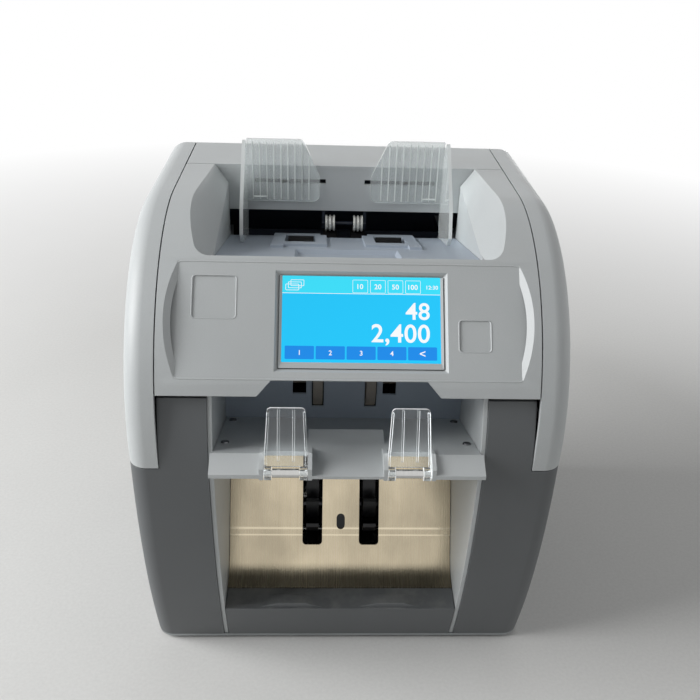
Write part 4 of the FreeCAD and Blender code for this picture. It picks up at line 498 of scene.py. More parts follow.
def make_finishes(colours):
    """Makes every finish of the machine once."""
    moulded("light_plastic", colours.light_shell, roughness=0.44)
    # A darker, cooler grey than the light plastic, partly painted shade in the hopper and reject pocket
    moulded("pocket_plastic_and_painted_shade", colours.pocket_shell, roughness=0.42)
    moulded("dark_plastic", colours.dark_shell, roughness=0.46, mottle=0.05, dust=0.2)
    moulded("black_moulding", colours.black, roughness=0.42, mottle=0.08, dust=0.03, shine=0.35)
    # Near-black for the note path, also used as painted shade in the throat
    moulded("throat_plastic_and_painted_shade", colours.throat, roughness=0.5, mottle=0.08, dust=0.02)
    moulded("white_moulding", colours.white, roughness=0.35, grain=2600.0, depth=0.12)
    moulded("roller_rubber", colours.rubber, roughness=0.72, mottle=0.1, grain=1200.0, depth=0.5, dust=0.01,
            shine=0.12)
    # Much lighter than the roller rubber: partly wear, partly painted light on the shadowed reject wheels
    moulded("worn_rubber", colours.worn_rubber, roughness=0.6, mottle=0.12, grain=1200.0, depth=0.4)
    see_through("clear_polished", colours.clear, roughness=0.01, weight=1.0, shadow=0.9, scratch=0.06)
    # The cut edges of the clear stops glow a little: painted light, not a lamp
    see_through("clear_cut_edge_painted_glow", colours.clear, roughness=0.2, weight=0.2, shadow=0.8, painted_glow=0.3)
    see_through("frosted_guides", colours.frosted, roughness=0.05, weight=0.74, shadow=0.8, scratch=0.01)
    see_through("frosted_cut_edge", colours.frosted, roughness=0.2, weight=0.3, shadow=0.7)
    bent_sheet("brushed_sheet_finish", colours.brushed)
    metal("zinc_sheet_finish", colours.zinc, ROLLED, roughness=0.42, contrast=0.15)
    metal("dark_steel_finish", colours.dark_steel, TURNED, roughness=0.3, contrast=0.2)
    metal("bright_steel_finish", colours.steel, TURNED, roughness=0.22, contrast=0.15)
    board_finish("board_finish", colours.board)
    lit("screen_glow", colours.screen)
    lit("screen_bar_glow", lifted(colours.screen, 1.25, 0.03))
    lit("screen_button_glow", colours.button)
    lit("screen_digit_glow", colours.digits, fade=0.05)


# Pieces

SAME_PLACE = 1e-6
SAME_PLANE = math.radians(0.5)
HARD_EDGE = math.radians(35.0)


def placed(name, data):
    """A new object of that name and data, put in the scene."""
    thing = bpy.data.objects.new(name, data)
    bpy.context.scene.collection.objects.link(thing)
    return thing


def round_edges(work, edges, size):
    bmesh.ops.bevel(work, geom=edges, offset=size, offset_type="OFFSET", segments=2, profile=0.5,
                    affect="EDGES", clamp_overlap=True)


def smooth(piece, angle):
    mesh = piece.data
    mesh.polygons.foreach_set("use_smooth", [True] * len(mesh.polygons))
    mesh.set_sharp_from_angle(angle=math.radians(angle))
    weighted = piece.modifiers.new("Even normals", "WEIGHTED_NORMAL")
    weighted.keep_sharp = True


def painted(node, finish):
    """Gives a CAD node its finish and leaves its shape alone."""
    materials = NODES[node].data.materials
    materials.clear()
    materials.append(FINISH[finish])


def dressed(node, finish, edge, other=None, shape=None):
    """Makes a finished copy of a CAD node with rounded hard edges, which stands for it and rides with it.

    Where other is given, it is a second finish and a test that says which faces take it. Where shape is
    given, it changes the copy before its edges are rounded.
    """
    source = NODES[node]
    mesh = source.data.copy()
    mesh.materials.clear()
    if "custom_normal" in mesh.attributes:
        mesh.attributes.remove(mesh.attributes["custom_normal"])
    work = bmesh.new()
    work.from_mesh(mesh)
    bmesh.ops.remove_doubles(work, verts=work.verts, dist=SAME_PLACE)
    bmesh.ops.dissolve_limit(work, angle_limit=SAME_PLANE, verts=work.verts, edges=work.edges)
    if shape:
        shape(work)
    if edge:
        inner = (e for e in work.edges if len(e.link_faces) == 2)
        round_edges(work, [e for e in inner if e.calc_face_angle() > HARD_EDGE], edge)
    for face in work.faces:
        face.material_index = 1 if other and other[1](face) else 0
    work.to_mesh(mesh)
    work.free()
    mesh.materials.append(FINISH[finish])
    if other:
        mesh.materials.append(FINISH[other[0]])
    piece = placed(node + "_finished", mesh)
    smooth(piece, angle=50.0)
    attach(piece, source["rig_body"])
    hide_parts(node)


def new_piece(name, work, finish, body):
    """A new object from a bmesh, with its finish, riding on a body."""
    mesh = bpy.data.meshes.new(name)
    work.to_mesh(mesh)
    work.free()
    mesh.materials.append(FINISH[finish])
    piece = placed(name, mesh)
    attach(piece, body)
    return piece


def new_fitting(name, work, finish):
    """A smooth closed piece on the machine itself, with its faces turned outward."""
    bmesh.ops.recalc_face_normals(work, faces=work.faces)
    piece = new_piece(name, work, finish, "machine")
    smooth(piece, angle=40.0)
    return piece


def strip(work, near, far):
    """Faces between two closed loops of as many vertices each."""
    for step in range(len(near)):
        after = (step + 1) % len(near)
        work.faces.new([near[step], near[after], far[after], far[step]])


def skin(work, loops):
    """Joins loops of as many points each, one after the other, and gives their vertices."""
    rings = [[work.verts.new(point) for point in loop] for loop in loops]
    for near, far in zip(rings, rings[1:]):
        strip(work, near, far)
    return rings


def closed_ring(work, loops):
    """A skin whose last loop is joined to its first."""
    rings = skin(work, loops)
    strip(work, rings[-1], rings[0])


def grown(box, reach):
    """Ends of a box made larger by a reach on all four sides."""
    left, low, right, high = box
    return left - reach, low - reach, right + reach, high + reach


def square_outline(box):
    """Corner points of a rectangle, anticlockwise."""
    left, low, right, high = box
    return [(left, low), (right, low), (right, high), (left, high)]


def rounded_outline(box, radius):
    """Corner points of a rounded rectangle, anticlockwise."""
    steps = 5
    left, low, right, high = grown(box, -radius)
    points = []
    for x, y, start in ((right, low, -90), (right, high, 0), (left, high, 90), (left, low, 180)):
        for step in range(steps + 1):
            angle = math.radians(start + 90.0 * step / steps)
            points.append((x + radius * math.cos(angle), y + radius * math.sin(angle)))
    return points


def facing(node, out):
    """Faces of a node that look one way, grouped by how far out they are, with the largest area first."""
    same_way = 0.9995
    planes = {}
    for face in NODES[node].data.polygons:
        if face.normal.dot(out) > same_way:
            planes.setdefault(round(face.center.dot(out), 4), []).append(face)
    return sorted(planes.values(), key=lambda faces: -sum(f.area for f in faces))


class DisplayPlane:
    """The glass of the display, with places measured across, up and out from its middle."""

    def __init__(self):
        faces = [f for f in NODES["touch_display"].data.polygons if f.normal.y < -0.5 and f.normal.z > 0.5]
        self.out = max(faces, key=lambda f: f.area).normal.copy()
        self.up = self.out.cross(RIGHT)
        glass = facing("touch_display", self.out)[0]
        self.middle = sum((f.center * f.area for f in glass), Vector()) / sum(f.area for f in glass)
        self.glass = self.extent("touch_display", glass)[:4]

    def at(self, x, y, height):
        return self.middle + RIGHT * x + self.up * y + self.out * height

    def measure(self, place):
        """How far a place is across, up and out."""
        local = place - self.middle
        return local.dot(RIGHT), local.dot(self.up), local.dot(self.out)

    def extent(self, node, faces):
        """Left, low, right and high ends of some faces of a node, and their height above the glass."""
        mesh = NODES[node].data
        across, up, out = zip(*(self.measure(mesh.vertices[i].co) for f in faces for i in f.vertices))
        return min(across), min(up), max(across), max(up), out[0]


def label_places(plane, sizes):
    """Ends of the fascia's two bare label places in the solid and as shown, and their ground's height."""
    grounds = facing("front_fascia", plane.out)[1]
    places = []
    for side in (-1, 1):
        *solid, base = plane.extent("front_fascia", [f for f in grounds if f.center.x * side > 0])
        shown = solid
        if side < 0:
            x, y = (solid[0] + solid[2]) / 2, (solid[1] + solid[3]) / 2 + sizes.label_lift
            wide = (solid[2] - solid[0]) / 2 * sizes.label_scale
            tall = (solid[3] - solid[1]) / 2 * sizes.label_scale
            shown = [x - wide, y - tall, x + wide, y + tall]
        places.append((solid, shown, base))
    return places


def lift_labels(work, plane, sizes):
    """Moves the label places of a copy of the fascia to where they are shown."""
    near = 0.001
    for solid, shown, base in label_places(plane, sizes):
        left, low, right, high = grown(solid, near)
        across = (shown[2] - shown[0]) / (solid[2] - solid[0])
        up = (shown[3] - shown[1]) / (solid[3] - solid[1])
        for vert in work.verts:
            x, y, height = plane.measure(vert.co)
            if left < x < right and low < y < high and abs(height - base) < near:
                shown_x = shown[0] + (x - solid[0]) * across
                shown_y = shown[1] + (y - solid[1]) * up
                vert.co = plane.at(shown_x, shown_y, height)


def bead(work, plane, box, radius, base, width, height):
    """A low rounded bead on the fascia along the inside of a rounded rectangle."""
    seat, least_radius = -0.0002, 0.0002
    crown = ((width * 0.3, height), (width * 0.7, height))
    profile = ((0.0, seat), (0.0, 0.0), *crown, (width, 0.0), (width, seat))
    loops = []
    for inset, level in profile:
        points = rounded_outline(grown(box, -inset), max(radius - inset, least_radius))
        loops.append([plane.at(x, y, base + level) for x, y in points])
    closed_ring(work, loops)


def figures(words, height):
    """A flat mesh of upright bold figures of that height."""
    figure_part = 0.715
    boldness = 0.018
    curve = bpy.data.curves.new("figures", "FONT")
    curve.body = words
    curve.size = height / figure_part
    curve.offset = height * boldness
    curve.space_character = 1.04
    shape = placed("figures", curve)
    seen = shape.evaluated_get(bpy.context.evaluated_depsgraph_get())
    mesh = bpy.data.meshes.new_from_object(seen)
    bpy.data.objects.remove(shape)
    bpy.data.curves.remove(curve)
    return mesh


class DisplayLayer:
    """Collects flat shapes of one colour at one height above the glass.

    Parts of the lit picture's width and height, from its lower left corner, become places by x, y and box.
    """

    def __init__(self, name, finish, plane, sizes, level):
        self.name = name
        self.finish = finish
        self.plane = plane
        self.wide = sizes.lit_width
        self.high = sizes.lit_height
        self.rise = sizes.lit_rise
        self.height = level * sizes.layer
        self.work = bmesh.new()

    def x(self, part):
        return -self.wide / 2 + self.wide * part

    def y(self, part):
        return -self.high / 2 + self.high * part

    def box(self, left, low, right, high):
        return self.x(left), self.y(low), self.x(right), self.y(high)

    def loop(self, points):
        return [self.plane.at(x, y + self.rise, self.height) for x, y in points]

    def fill(self, points):
        self.work.faces.new([self.work.verts.new(place) for place in self.loop(points)])

    def outline(self, box, rim, outer, inner):
        """A line of a rim's width along the inside of a box, with an outer and an inner corner radius."""
        edges = (rounded_outline(box, outer), rounded_outline(grown(box, -rim), inner))
        skin(self.work, [self.loop(edge) for edge in edges])

    def text(self, words, height, right, base, centred=False):
        """Plain figures; right is their right edge, or their middle when centred."""
        flat = figures(words, height * self.high)
        start = min(v.co.x for v in flat.vertices)
        wide = max(v.co.x for v in flat.vertices) - start
        left = self.x(right) - (wide / 2 if centred else wide) - start
        foot = self.y(base)
        for polygon in flat.polygons:
            corners = (flat.vertices[i].co for i in polygon.vertices)
            self.fill([(corner.x + left, corner.y + foot) for corner in corners])
        bpy.data.meshes.remove(flat)

    def done(self):
        new_piece(self.name, self.work, self.finish, "machine")


# Height of a screw's head, length of its shank and number of sides
HEAD_HEIGHT = 0.0016
SHANK_LENGTH = 0.004
HEAD_SIDES = 32

# Outline of a pan head from the shank to the top, in parts of its radius and of its height
PAN_HEAD = ((0.45, -1.0), (1.0, -1.0), (1.0, -0.45), (0.86, -0.12), (0.66, 0.0))


def screw_head(work, place, axis, radius):
    """A pan head with a cross recess, its shank going down the axis."""
    spot = Matrix.Translation(place) @ UP.rotation_difference(axis).to_matrix().to_4x4()
    profile = [(PAN_HEAD[0][0] * radius, -HEAD_HEIGHT - SHANK_LENGTH)]
    profile += [(part * radius, level * HEAD_HEIGHT) for part, level in PAN_HEAD]
    angles = [2 * math.pi * step / HEAD_SIDES for step in range(HEAD_SIDES)]

    def loop(points):
        return [work.verts.new(spot @ Vector(point)) for point in points]

    rings = []
    for size, height in profile:
        rings.append(loop([(size * math.cos(a), size * math.sin(a), height) for a in angles]))
    work.faces.new(list(reversed(rings[0])))
    for low, high in zip(rings, rings[1:]):
        strip(work, low, high)
    arm = radius * 0.5
    half = radius * 0.13
    taper = 0.8
    floor = -HEAD_HEIGHT * 0.55
    cross = [(half, half), (half, arm), (-half, arm), (-half, half), (-arm, half), (-arm, -half),
             (-half, -half), (-half, -arm), (half, -arm), (half, -half), (arm, -half), (arm, half)]
    brim = loop([(x, y, 0.0) for x, y in cross])
    pit = loop([(x * taper, y * taper, floor) for x, y in cross])
    edges = []
    for ring in (rings[-1], brim):
        for pair in zip(ring, ring[1:] + ring[:1]):
            edges.append(work.edges.get(pair) or work.edges.new(pair))
    bmesh.ops.triangle_fill(work, use_beauty=True, use_dissolve=False, edges=edges)
    strip(work, brim, pit)
    work.faces.new(pit)


# Operators


class COUNTER_OT_finishes(bpy.types.Operator):
    """Make the plastics, metals and lit colours that the pieces share"""
    bl_idname = "counter.finishes"
    bl_label = "Finishes"

    def execute(self, context):
        make_finishes(context.scene.counter_colours)
        return {"FINISHED"}


class COUNTER_OT_shells(bpy.types.Operator):
    """Round the edges of the outer covers and finish them in light and dark plastic"""
    bl_idname = "counter.shells"
    bl_label = "Outer shells"

    def execute(self, context):
        sizes = context.scene.counter_sizes
        edge = sizes.shell_round
        plane = DisplayPlane()
        plate_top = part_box("hopper_back_plate")[1].z

        # Painted shade: faces of the rear door that look into the throat below the back plate's top take
        # the near-black finish
        def inside(face):
            looks_in = face.normal.y < -0.2 or abs(face.normal.x) > 0.9
            return looks_in and face.calc_center_median().z < plate_top

        for node in ("left_side_cover", "right_side_cover"):
            dressed(node, "light_plastic", edge)
        dressed("front_fascia", "light_plastic", edge, shape=lambda work: lift_labels(work, plane, sizes))
        dressed("rear_door", "light_plastic", edge, other=("throat_plastic_and_painted_shade", inside))
        for node in ("left_lower_housing", "right_lower_housing", "front_lip"):
            dressed(node, "dark_plastic", edge)
        return {"FINISHED"}


class COUNTER_OT_pockets(bpy.types.Operator):
    """Finish the reject pocket and the stacker: walls, tray, back wall and curved sheet"""
    bl_idname = "counter.pockets"
    bl_label = "Pockets"

    def execute(self, context):
        sizes = context.scene.counter_sizes
        for node in ("left_bay_wall", "right_bay_wall"):
            dressed(node, "light_plastic", sizes.small_round)
        dressed("reject_tray", "light_plastic", sizes.shell_round)
        # The reject back wall takes the darker, cooler grey that is partly painted shade
        dressed("reject_back_wall", "pocket_plastic_and_painted_shade", sizes.small_round)
        dressed("stacker_plate", "brushed_sheet_finish", sizes.small_round)
        painted("stack_sensor", "black_moulding")
        return {"FINISHED"}


class COUNTER_OT_hopper(bpy.types.Operator):
    """Finish the hopper floor, the back plate that the guides run on and the rollers that hang from it"""
    bl_idname = "counter.hopper"
    bl_label = "Hopper"

    def execute(self, context):
        edge = context.scene.counter_sizes.small_round
        middle = sum(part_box("retard_rollers"), Vector()) / 2
        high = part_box("retard_rollers")[1].z
        hangers_half_width = 0.03
        axle_radius = 0.0022

        # Painted shade: the back plate's hangers in the throat take the near-black finish
        def hangs(face):
            place = face.calc_center_median()
            return place.z < high and abs(place.x) < hangers_half_width

        # Painted shade: the axle between the retard rollers takes the near-black finish
        def is_axle(face):
            place = face.calc_center_median()
            return math.hypot(place.y - middle.y, place.z - middle.z) < axle_radius

        # The hopper floor takes the darker, cooler grey that is partly painted shade
        dressed("hopper_floor", "pocket_plastic_and_painted_shade", edge)
        dressed("hopper_back_plate", "light_plastic", edge, other=("throat_plastic_and_painted_shade", hangs))
        dressed("retard_rollers", "white_moulding", edge=0.0, other=("throat_plastic_and_painted_shade", is_axle))
        return {"FINISHED"}


class COUNTER_OT_guides(bpy.types.Operator):
    """Finish the frosted hopper guides with their ribs, their racks and the pinion that joins them"""
    bl_idname = "counter.guides"
    bl_label = "Hopper guides"

    def execute(self, context):
        for side, sign in (("left", -1), ("right", 1)):
            dressed(side + "_hopper_guide", "frosted_guides", edge=0.0,
                    other=("frosted_cut_edge", self.is_rim))
            self.add_ribs(side, sign, context.scene.counter_sizes)
            painted(side + "_guide_rack", "white_moulding")
        painted("guide_pinion", "white_moulding")
        return {"FINISHED"}

    def is_rim(self, face):
        """Whether a face is a cut edge of the sideways-facing blade or of the forward-facing wing."""
        blade_thickness = 0.0035
        outer = abs(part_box("left_hopper_guide")[0].x)
        on_blade = abs(face.calc_center_median().x) > outer - blade_thickness
        return abs(face.normal.x if on_blade else face.normal.y) < 0.5

    def add_ribs(self, side, sign, sizes):
        """Upright ribs across the wing and a short bar at its foot, moulded on its front face."""
        first_rib, bare_width = 0.0062, 0.010
        foot_gap, head_gap = 0.0012, 0.0014
        bar_start, bar_length, bar_low, bar_high = 0.0005, 0.0095, 0.0012, 0.0024
        mesh = NODES[side + "_hopper_guide"].data
        tree = BVHTree.FromPolygons([v.co for v in mesh.vertices], [p.vertices for p in mesh.polygons])
        low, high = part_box(side + "_hopper_guide")
        inner, outer = sorted((abs(low.x), abs(high.x)))
        half = sizes.rib_width / 2
        work = bmesh.new()
        for step in range(round((outer - inner - bare_width) / sizes.rib_step)):
            x = sign * (outer - first_rib - step * sizes.rib_step)
            hits = self.wing_line(tree, x, low, high)
            if not hits:
                continue
            front = min(place.y for place in hits)
            foot = min(place.z for place in hits) + foot_gap
            head = max(place.z for place in hits) - head_gap
            self.bar(work, (x - half, front, foot), (x + half, front - sizes.rib_depth, head))
            if step == 0:
                start = x - sign * bar_start
                left, right = sorted((start, start - sign * bar_length))
                self.bar(work, (left, front, foot + bar_low),
                         (right, front - 2 * sizes.rib_depth, foot + bar_high))
        smooth(new_piece(side + "_guide_ribs", work, "frosted_cut_edge", side + "_guide"), angle=30.0)

    def wing_line(self, tree, x, low, high):
        """Places up the front face of the wing at one x, or none where the wing is too short for a rib."""
        ahead_of_back, reach = 0.012, 0.009
        ticks, fewest = 100, 9
        hits = []
        for tick in range(ticks + 1):
            z = low.z + (high.z - low.z) * tick / ticks
            place = tree.ray_cast(Vector((x, high.y - ahead_of_back, z)), BACK, reach)[0]
            if place:
                hits.append(place)
        return hits if len(hits) >= fewest else []

    def bar(self, work, start, end):
        """A small bar with chamfered front edges, seated a little into the wing behind it."""
        (left, back, foot), (right, front, head) = start, end
        chamfer = min(right - left, head - foot) * 0.3
        seat = back + 0.0001
        shoulder = front + (back - front) * 0.4
        loops = []
        for y, inset in ((seat, 0.0), (shoulder, 0.0), (front, chamfer)):
            corners = square_outline(grown((left, foot, right, head), -inset))
            loops.append([(x, y, z) for x, z in corners])
        rings = skin(work, loops)
        work.faces.new(list(reversed(rings[0])))
        work.faces.new(rings[-1])


class COUNTER_OT_stops(bpy.types.Operator):
    """Finish the clear note stops and their pins"""
    bl_idname = "counter.stops"
    bl_label = "Note stops"

    def execute(self, context):
        edge = context.scene.counter_sizes.small_round
        top_band = 0.0012
        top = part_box("left_stop")[1].z

        def is_cut_edge(face):
            return abs(face.normal.x) > 0.3 or face.calc_center_median().z > top - top_band

        for side in ("left", "right"):
            # Cut edges of the stops take the clear finish with a painted glow
            dressed(side + "_stop", "clear_polished", edge, other=("clear_cut_edge_painted_glow", is_cut_edge))
        painted("stop_pins", "bright_steel_finish")
        return {"FINISHED"}


class COUNTER_OT_screws(bpy.types.Operator):
    """Make the cross-recessed screws that hold the reject tray and the rear panel"""
    bl_idname = "counter.screws"
    bl_label = "Screws"

    def execute(self, context):
        self.hold_tray()
        self.hold_rear_panel()
        return {"FINISHED"}

    def hold_tray(self):
        """Screw heads with a cross recess in place of the plain ones of the reject tray."""
        between_rows = -0.0725
        mesh = NODES["tray_screws"].data
        heads = {}
        for polygon in mesh.polygons:
            if polygon.normal.z > 0.9:
                middle = polygon.center
                heads.setdefault((middle.x > 0, middle.y > between_rows), []).append(polygon)
        if len(heads) != 4:
            raise RuntimeError("the tray should have four screws")
        work = bmesh.new()
        for faces in heads.values():
            axis = sum((f.normal * f.area for f in faces), Vector()).normalized()
            corners = [mesh.vertices[i].co for f in faces for i in f.vertices]
            low = Vector(min(c[k] for c in corners) for k in range(3))
            high = Vector(max(c[k] for c in corners) for k in range(3))
            screw_head(work, (low + high) / 2, axis, (high.x - low.x) / 2)
        piece = new_fitting("tray_screw_heads", work, "dark_steel_finish")
        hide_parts("tray_screws")

    def hold_rear_panel(self):
        """Small pan-head screws in two rows, placed by parts of the rear panel's width and height."""
        proud, radius = 0.0012, 0.0026
        low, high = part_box("rear_panel")
        wide, tall = high.x - low.x, high.z - low.z
        work = bmesh.new()
        for across in (0.05, 0.5, 0.95):
            for up in (0.08, 0.68):
                place = Vector((low.x + wide * across, high.y + proud, low.z + tall * up))
                screw_head(work, place, BACK, radius)
        new_fitting("rear_panel_screws", work, "bright_steel_finish")


# Places on the lit picture, in parts of its width or height
BAR_FOOT = 0.795
LINE_WIDTH = 0.006
KEY_START = 0.022
KEY_STEP = 0.1925
KEY_WIDTH = 0.182
KEY_MIDDLE = KEY_START + KEY_WIDTH / 2
SUMS_EDGE = 0.93
TAB_START = 0.443
TAB_STEP = 0.1115
TAB_WIDTH = 0.097

# Corner radius of keys and tabs, and width of a tab's rim, in metres
KEY_RADIUS = 0.0006
TAB_RIM = 0.00022


class COUNTER_OT_display(bpy.types.Operator):
    """Draw the lit picture on the display, and frame it with the window's edge and the fascia's beads"""
    bl_idname = "counter.display"
    bl_label = "Display"

    def execute(self, context):
        sizes = context.scene.counter_sizes
        painted("touch_display", "black_moulding")
        painted("display_board", "board_finish")
        plane = DisplayPlane()
        self.frame_picture(plane, sizes)
        ground = DisplayLayer("screen_background", "screen_glow", plane, sizes, 1)
        ground.fill(rounded_outline(ground.box(0.0, 0.0, 1.0, 1.0), radius=0.0004))
        bar = DisplayLayer("screen_bar", "screen_bar_glow", plane, sizes, 2)
        bar.fill(square_outline(bar.box(0.0, BAR_FOOT, 1.0, 1.0)))
        keys = DisplayLayer("screen_keys", "screen_button_glow", plane, sizes, 2)
        for step in range(5):
            start = KEY_START + KEY_STEP * step
            key = keys.box(left=start, low=0.036, right=start + KEY_WIDTH, high=0.188)
            keys.fill(rounded_outline(key, KEY_RADIUS))
        marks = DisplayLayer("screen_figures", "screen_digit_glow", plane, sizes, 3)
        marks.fill(square_outline(marks.box(0.0, BAR_FOOT, 1.0, BAR_FOOT + LINE_WIDTH)))
        marks.text(str(sizes.notes), height=0.196, right=SUMS_EDGE, base=0.508)
        marks.text(f"{sizes.total:,}", height=0.21, right=SUMS_EDGE, base=0.243)
        self.mark_keys(marks)
        self.draw_bar(marks)
        for layer in (ground, bar, keys, marks):
            layer.done()
        return {"FINISHED"}

    def mark_keys(self, marks):
        """Numbers on the first four keys and an arrow head that points left on the last."""
        for step, words in enumerate(("1", "2", "3", "4")):
            marks.text(words, height=0.055, right=KEY_MIDDLE + KEY_STEP * step, base=0.085, centred=True)
        half = marks.high * 0.032
        thick = marks.high * 0.013
        rise = marks.y(0.112)
        middle = marks.x(KEY_MIDDLE + KEY_STEP * 4)
        tip, end = middle - half, middle + half
        for top in (rise + half, rise - half + thick):
            marks.fill([(end, top), (tip, rise + thick / 2), (tip, rise - thick / 2), (end, top - thick)])

    def draw_bar(self, marks):
        """The bar's contents: four tabs with plain numbers, a clock time and a drawing of stacked notes."""
        for step, words in enumerate(("10", "20", "50", "100")):
            start = TAB_START + TAB_STEP * step
            tab = marks.box(left=start, low=0.808, right=start + TAB_WIDTH, high=0.962)
            marks.outline(tab, TAB_RIM, outer=KEY_RADIUS, inner=KEY_RADIUS - TAB_RIM)
            marks.text(words, height=0.058, right=start + TAB_WIDTH / 2, base=0.856, centred=True)
        marks.text("12:30", height=0.045, right=0.985, base=0.862)
        note_width, note_height = 0.085, 0.075
        for step in range(3):
            left, low = 0.02 + 0.016 * step, 0.83 + 0.025 * step
            note = marks.box(left, low, left + note_width, low + note_height)
            marks.outline(note, marks.high * LINE_WIDTH, outer=0.0005, inner=0.0003)

    def frame_picture(self, plane, sizes):
        """The sloping inner edge of the window and the beads round the display field and label places."""
        seat, window_level, picture_level = -0.0001, 0.0007, 0.00012
        wide, tall, rise = sizes.lit_width / 2, sizes.lit_height / 2, sizes.lit_rise
        picture = (-wide, rise - tall, wide, rise + tall)
        slope = []
        for box, level in ((plane.glass, seat), (plane.glass, window_level), (picture, picture_level),
                           (picture, seat)):
            slope.append([plane.at(x, y, level) for x, y in rounded_outline(box, radius=0.0005)])
        work = bmesh.new()
        closed_ring(work, slope)
        field_radius, label_radius, label_part = 0.008, 0.0025, 0.7
        *field, base = plane.extent("front_fascia", facing("front_fascia", plane.out)[0])
        bead(work, plane, field, field_radius, base, sizes.bead_width, sizes.bead_height)
        width, height = sizes.bead_width * label_part, sizes.bead_height * label_part
        for _, shown, _ in label_places(plane, sizes):
            bead(work, plane, grown(shown, width), label_radius, base, width, height)
        new_fitting("fascia_beads", work, "light_plastic")


class COUNTER_OT_running_gear(bpy.types.Operator):
    """Finish the rollers, shafts, wheels, belt, motor and paper path"""
    bl_idname = "counter.running_gear"
    bl_label = "Running gear"

    def execute(self, context):
        nodes_by_finish = {
            "roller_rubber": ("pickup_rollers", "feed_rollers", "transport_rollers", "pinch_rollers",
                              "drive_belt", "rubber_feet"),
            "bright_steel_finish": ("pickup_shaft", "feed_shaft", "transport_shaft", "frame_spacers",
                                    "shaft_bearings", "door_hinge_rod", "motor_pulley", "main_motor"),
            "dark_steel_finish": ("reject_shaft", "stacker_shaft"),
            "black_moulding": ("stacker_wheels", "diverter_gate"),
            "throat_plastic_and_painted_shade": ("front_path_guide", "rear_path_guide", "front_sensor_bar",
                               "rear_sensor_bar"),
            # The reject wheels take the lighter rubber that is partly painted light
            "worn_rubber": ("reject_wheels",),
        }
        for finish, nodes in nodes_by_finish.items():
            for node in nodes:
                painted(node, finish)
        return {"FINISHED"}


class COUNTER_OT_rear(bpy.types.Operator):
    """Finish the base, frame plates, rear panel, sockets, switch and electronics, and close the rear gap"""
    bl_idname = "counter.rear"
    bl_label = "Rear and inside"

    def execute(self, context):
        for node in ("base_pan", "left_frame_plate", "right_frame_plate", "rear_panel", "power_supply"):
            painted(node, "zinc_sheet_finish")
        for node in ("power_inlet", "switch_housing", "power_rocker"):
            painted(node, "black_moulding")
        painted("main_board", "board_finish")
        rim_depth = 0.001
        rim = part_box("data_ports")[1].y - rim_depth

        def is_inside(face):
            return face.calc_center_median().y < rim

        dressed("data_ports", "bright_steel_finish", edge=0.0, other=("black_moulding", is_inside))
        self.close_rear_gap()
        return {"FINISHED"}

    def close_rear_gap(self):
        """A bent dark sheet inside the rear panel that keeps light out of the gap under the door."""
        thick, half, bend_radius = 0.001, 0.06, 0.0003
        rod = sum(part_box("door_hinge_rod"), Vector()) / 2
        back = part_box("rear_panel")[1].y - 0.0015
        front, shelf, top = rod.y - 0.021, rod.z - 0.026, rod.z + 0.001
        profile = ((back, shelf), (front, shelf), (front, top), (front + thick, top),
                   (front + thick, shelf + thick), (back, shelf + thick))
        work = bmesh.new()
        for end in skin(work, [[(x, y, z) for y, z in profile] for x in (-half, half)]):
            work.faces.new(end)
        bmesh.ops.recalc_face_normals(work, faces=work.faces)
        bends = [e for e in work.edges if abs((e.verts[0].co - e.verts[1].co).x) > half]
        round_edges(work, bends, bend_radius)
        new_fitting("rear_baffle", work, "black_moulding")


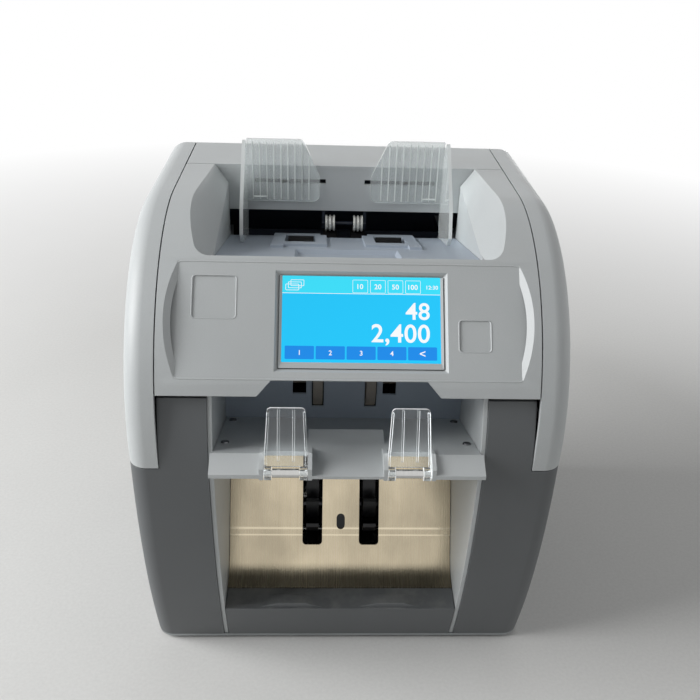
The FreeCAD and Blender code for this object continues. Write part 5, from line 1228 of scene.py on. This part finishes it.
class COUNTER_OT_stage(bpy.types.Operator):
    """Set the pale floor, the white surround, the soft lights and the camera"""
    bl_idname = "counter.stage"
    bl_label = "Stage"

    def execute(self, context):
        view = context.scene.counter_view
        self.lay_floor(context.scene.counter_colours.floor)
        self.light_surround(context.scene, view.ambient)
        self.hang_lamp("key", (-1.6, -0.3, 1.05), size=1.1, power=view.key_power)
        self.hang_lamp("fill", (1.7, 0.1, 0.7), size=1.3, power=view.fill_power)
        self.hang_lamp("back", (0.5, 1.9, 0.1), size=0.9, power=view.back_power)
        self.stand_camera(context.scene, view)
        context.scene.view_settings.view_transform = "Standard"
        return {"FINISHED"}

    def lay_floor(self, colour):
        """A wide floor that turns to plain white some way from the machine."""
        half_width, squares = 6.0, 24
        fade_start, fade_end = 0.45, 1.3
        work = bmesh.new()
        bmesh.ops.create_grid(work, x_segments=squares, y_segments=squares, size=half_width)
        mesh = bpy.data.meshes.new("floor")
        work.to_mesh(mesh)
        work.free()
        wire, shader = empty_finish("pale_floor")
        grained = wire.group(moulded_grain, Colour=colour, Mottle=0.01, Roughness=0.7, Spread=0.1,
                             Grain=400.0)
        wire.feed(shader, Base_Color=grained["Colour"], Roughness=grained["Roughness"])
        reach = wire.add("VectorMath", {0: wire.place()}, operation="LENGTH").outputs["Value"]
        far = wire.times(wire.span(reach, fade_start, fade_end), wire.seen())
        white = wire.add("Emission", {"Color": WHITE, "Strength": 1.0})
        blend = wire.add("MixShader", {0: far, 1: shader.outputs["BSDF"], 2: white.outputs["Emission"]})
        output = next(n for n in wire.tree.nodes if n.type == "OUTPUT_MATERIAL")
        wire.put(blend.outputs["Shader"], output.inputs["Surface"])
        mesh.materials.append(FINISH["pale_floor"])
        floor = placed("floor", mesh)

    def light_surround(self, scene, ambient):
        """Soft light from all round, and plain white where the surround itself is seen."""
        world = bpy.data.worlds.new("surround")
        scene.world = world
        world.use_nodes = True
        world.node_tree.nodes.clear()
        wire = Wiring(world.node_tree)
        level = wire.span(wire.seen(), 0.0, 1.0, ambient, 1.0)
        glow = wire.add("Background", {"Color": WHITE, "Strength": level})
        wire.add("OutputWorld", {"Surface": glow.outputs["Background"]})

    def hang_lamp(self, name, place, size, power):
        """A square lamp that looks at the middle of the machine."""
        target = Vector((0.0, 0.0, 0.15))
        lamp = bpy.data.lights.new(name, "AREA")
        lamp.shape = "SQUARE"
        lamp.size = size
        lamp.energy = power
        hung = placed(name, lamp)
        hung.location = place
        hung.rotation_euler = (target - Vector(place)).to_track_quat("-Z", "Y").to_euler()

    def stand_camera(self, scene, view):
        """A camera that looks forward and down, then is turned about the upright and about its own axis."""
        ahead = Vector((0.0, math.cos(view.pitch), -math.sin(view.pitch)))
        turn = Matrix.Rotation(-view.yaw, 3, "Z")
        ahead, right, down = turn @ ahead, turn @ RIGHT, turn @ ahead.cross(RIGHT)
        tilted = right * math.cos(view.roll) + down * math.sin(view.roll)
        down = down * math.cos(view.roll) - right * math.sin(view.roll)
        axes = Matrix((tilted, -down, -ahead)).transposed().to_4x4()
        lens = bpy.data.cameras.new("view")
        lens.sensor_width = FRAME_WIDTH
        lens.lens = view.lens
        lens.clip_start = 0.01
        camera = placed("view", lens)
        camera.matrix_world = Matrix.Translation(Vector(view.place)) @ axes
        scene.camera = camera


class COUNTER_PT_steps(bpy.types.Panel):
    """Lists the steps that build the looks, in their order, and their settings"""
    bl_idname = "COUNTER_PT_steps"
    bl_label = "Banknote counter"
    bl_space_type = "VIEW_3D"
    bl_region_type = "UI"
    bl_category = "Counter"

    def draw(self, context):
        for step in STEPS:
            self.layout.operator(step.bl_idname)
        for label in GROUPS:
            group = getattr(context.scene, label)
            for name in group.__annotations__:
                self.layout.prop(group, name)


GROUPS = {"counter_colours": CounterColours, "counter_sizes": CounterSizes, "counter_view": CounterView}
STEPS = (COUNTER_OT_finishes, COUNTER_OT_shells, COUNTER_OT_pockets, COUNTER_OT_hopper, COUNTER_OT_guides,
         COUNTER_OT_stops, COUNTER_OT_screws, COUNTER_OT_display, COUNTER_OT_running_gear, COUNTER_OT_rear,
         COUNTER_OT_stage)


def register():
    for name, group in GROUPS.items():
        bpy.utils.register_class(group)
        setattr(bpy.types.Scene, name, PointerProperty(type=group))
    for step in STEPS:
        bpy.utils.register_class(step)
    bpy.utils.register_class(COUNTER_PT_steps)


def unregister():
    bpy.utils.unregister_class(COUNTER_PT_steps)
    for step in reversed(STEPS):
        bpy.utils.unregister_class(step)
    for name, group in GROUPS.items():
        delattr(bpy.types.Scene, name)
        bpy.utils.unregister_class(group)


def main():
    register()
    bpy.ops.counter.finishes()
    bpy.ops.counter.shells()
    bpy.ops.counter.pockets()
    bpy.ops.counter.hopper()
    bpy.ops.counter.guides()
    bpy.ops.counter.stops()
    bpy.ops.counter.screws()
    bpy.ops.counter.display()
    bpy.ops.counter.running_gear()
    bpy.ops.counter.rear()
    bpy.ops.counter.stage()


if __name__ == "__main__":
    main()
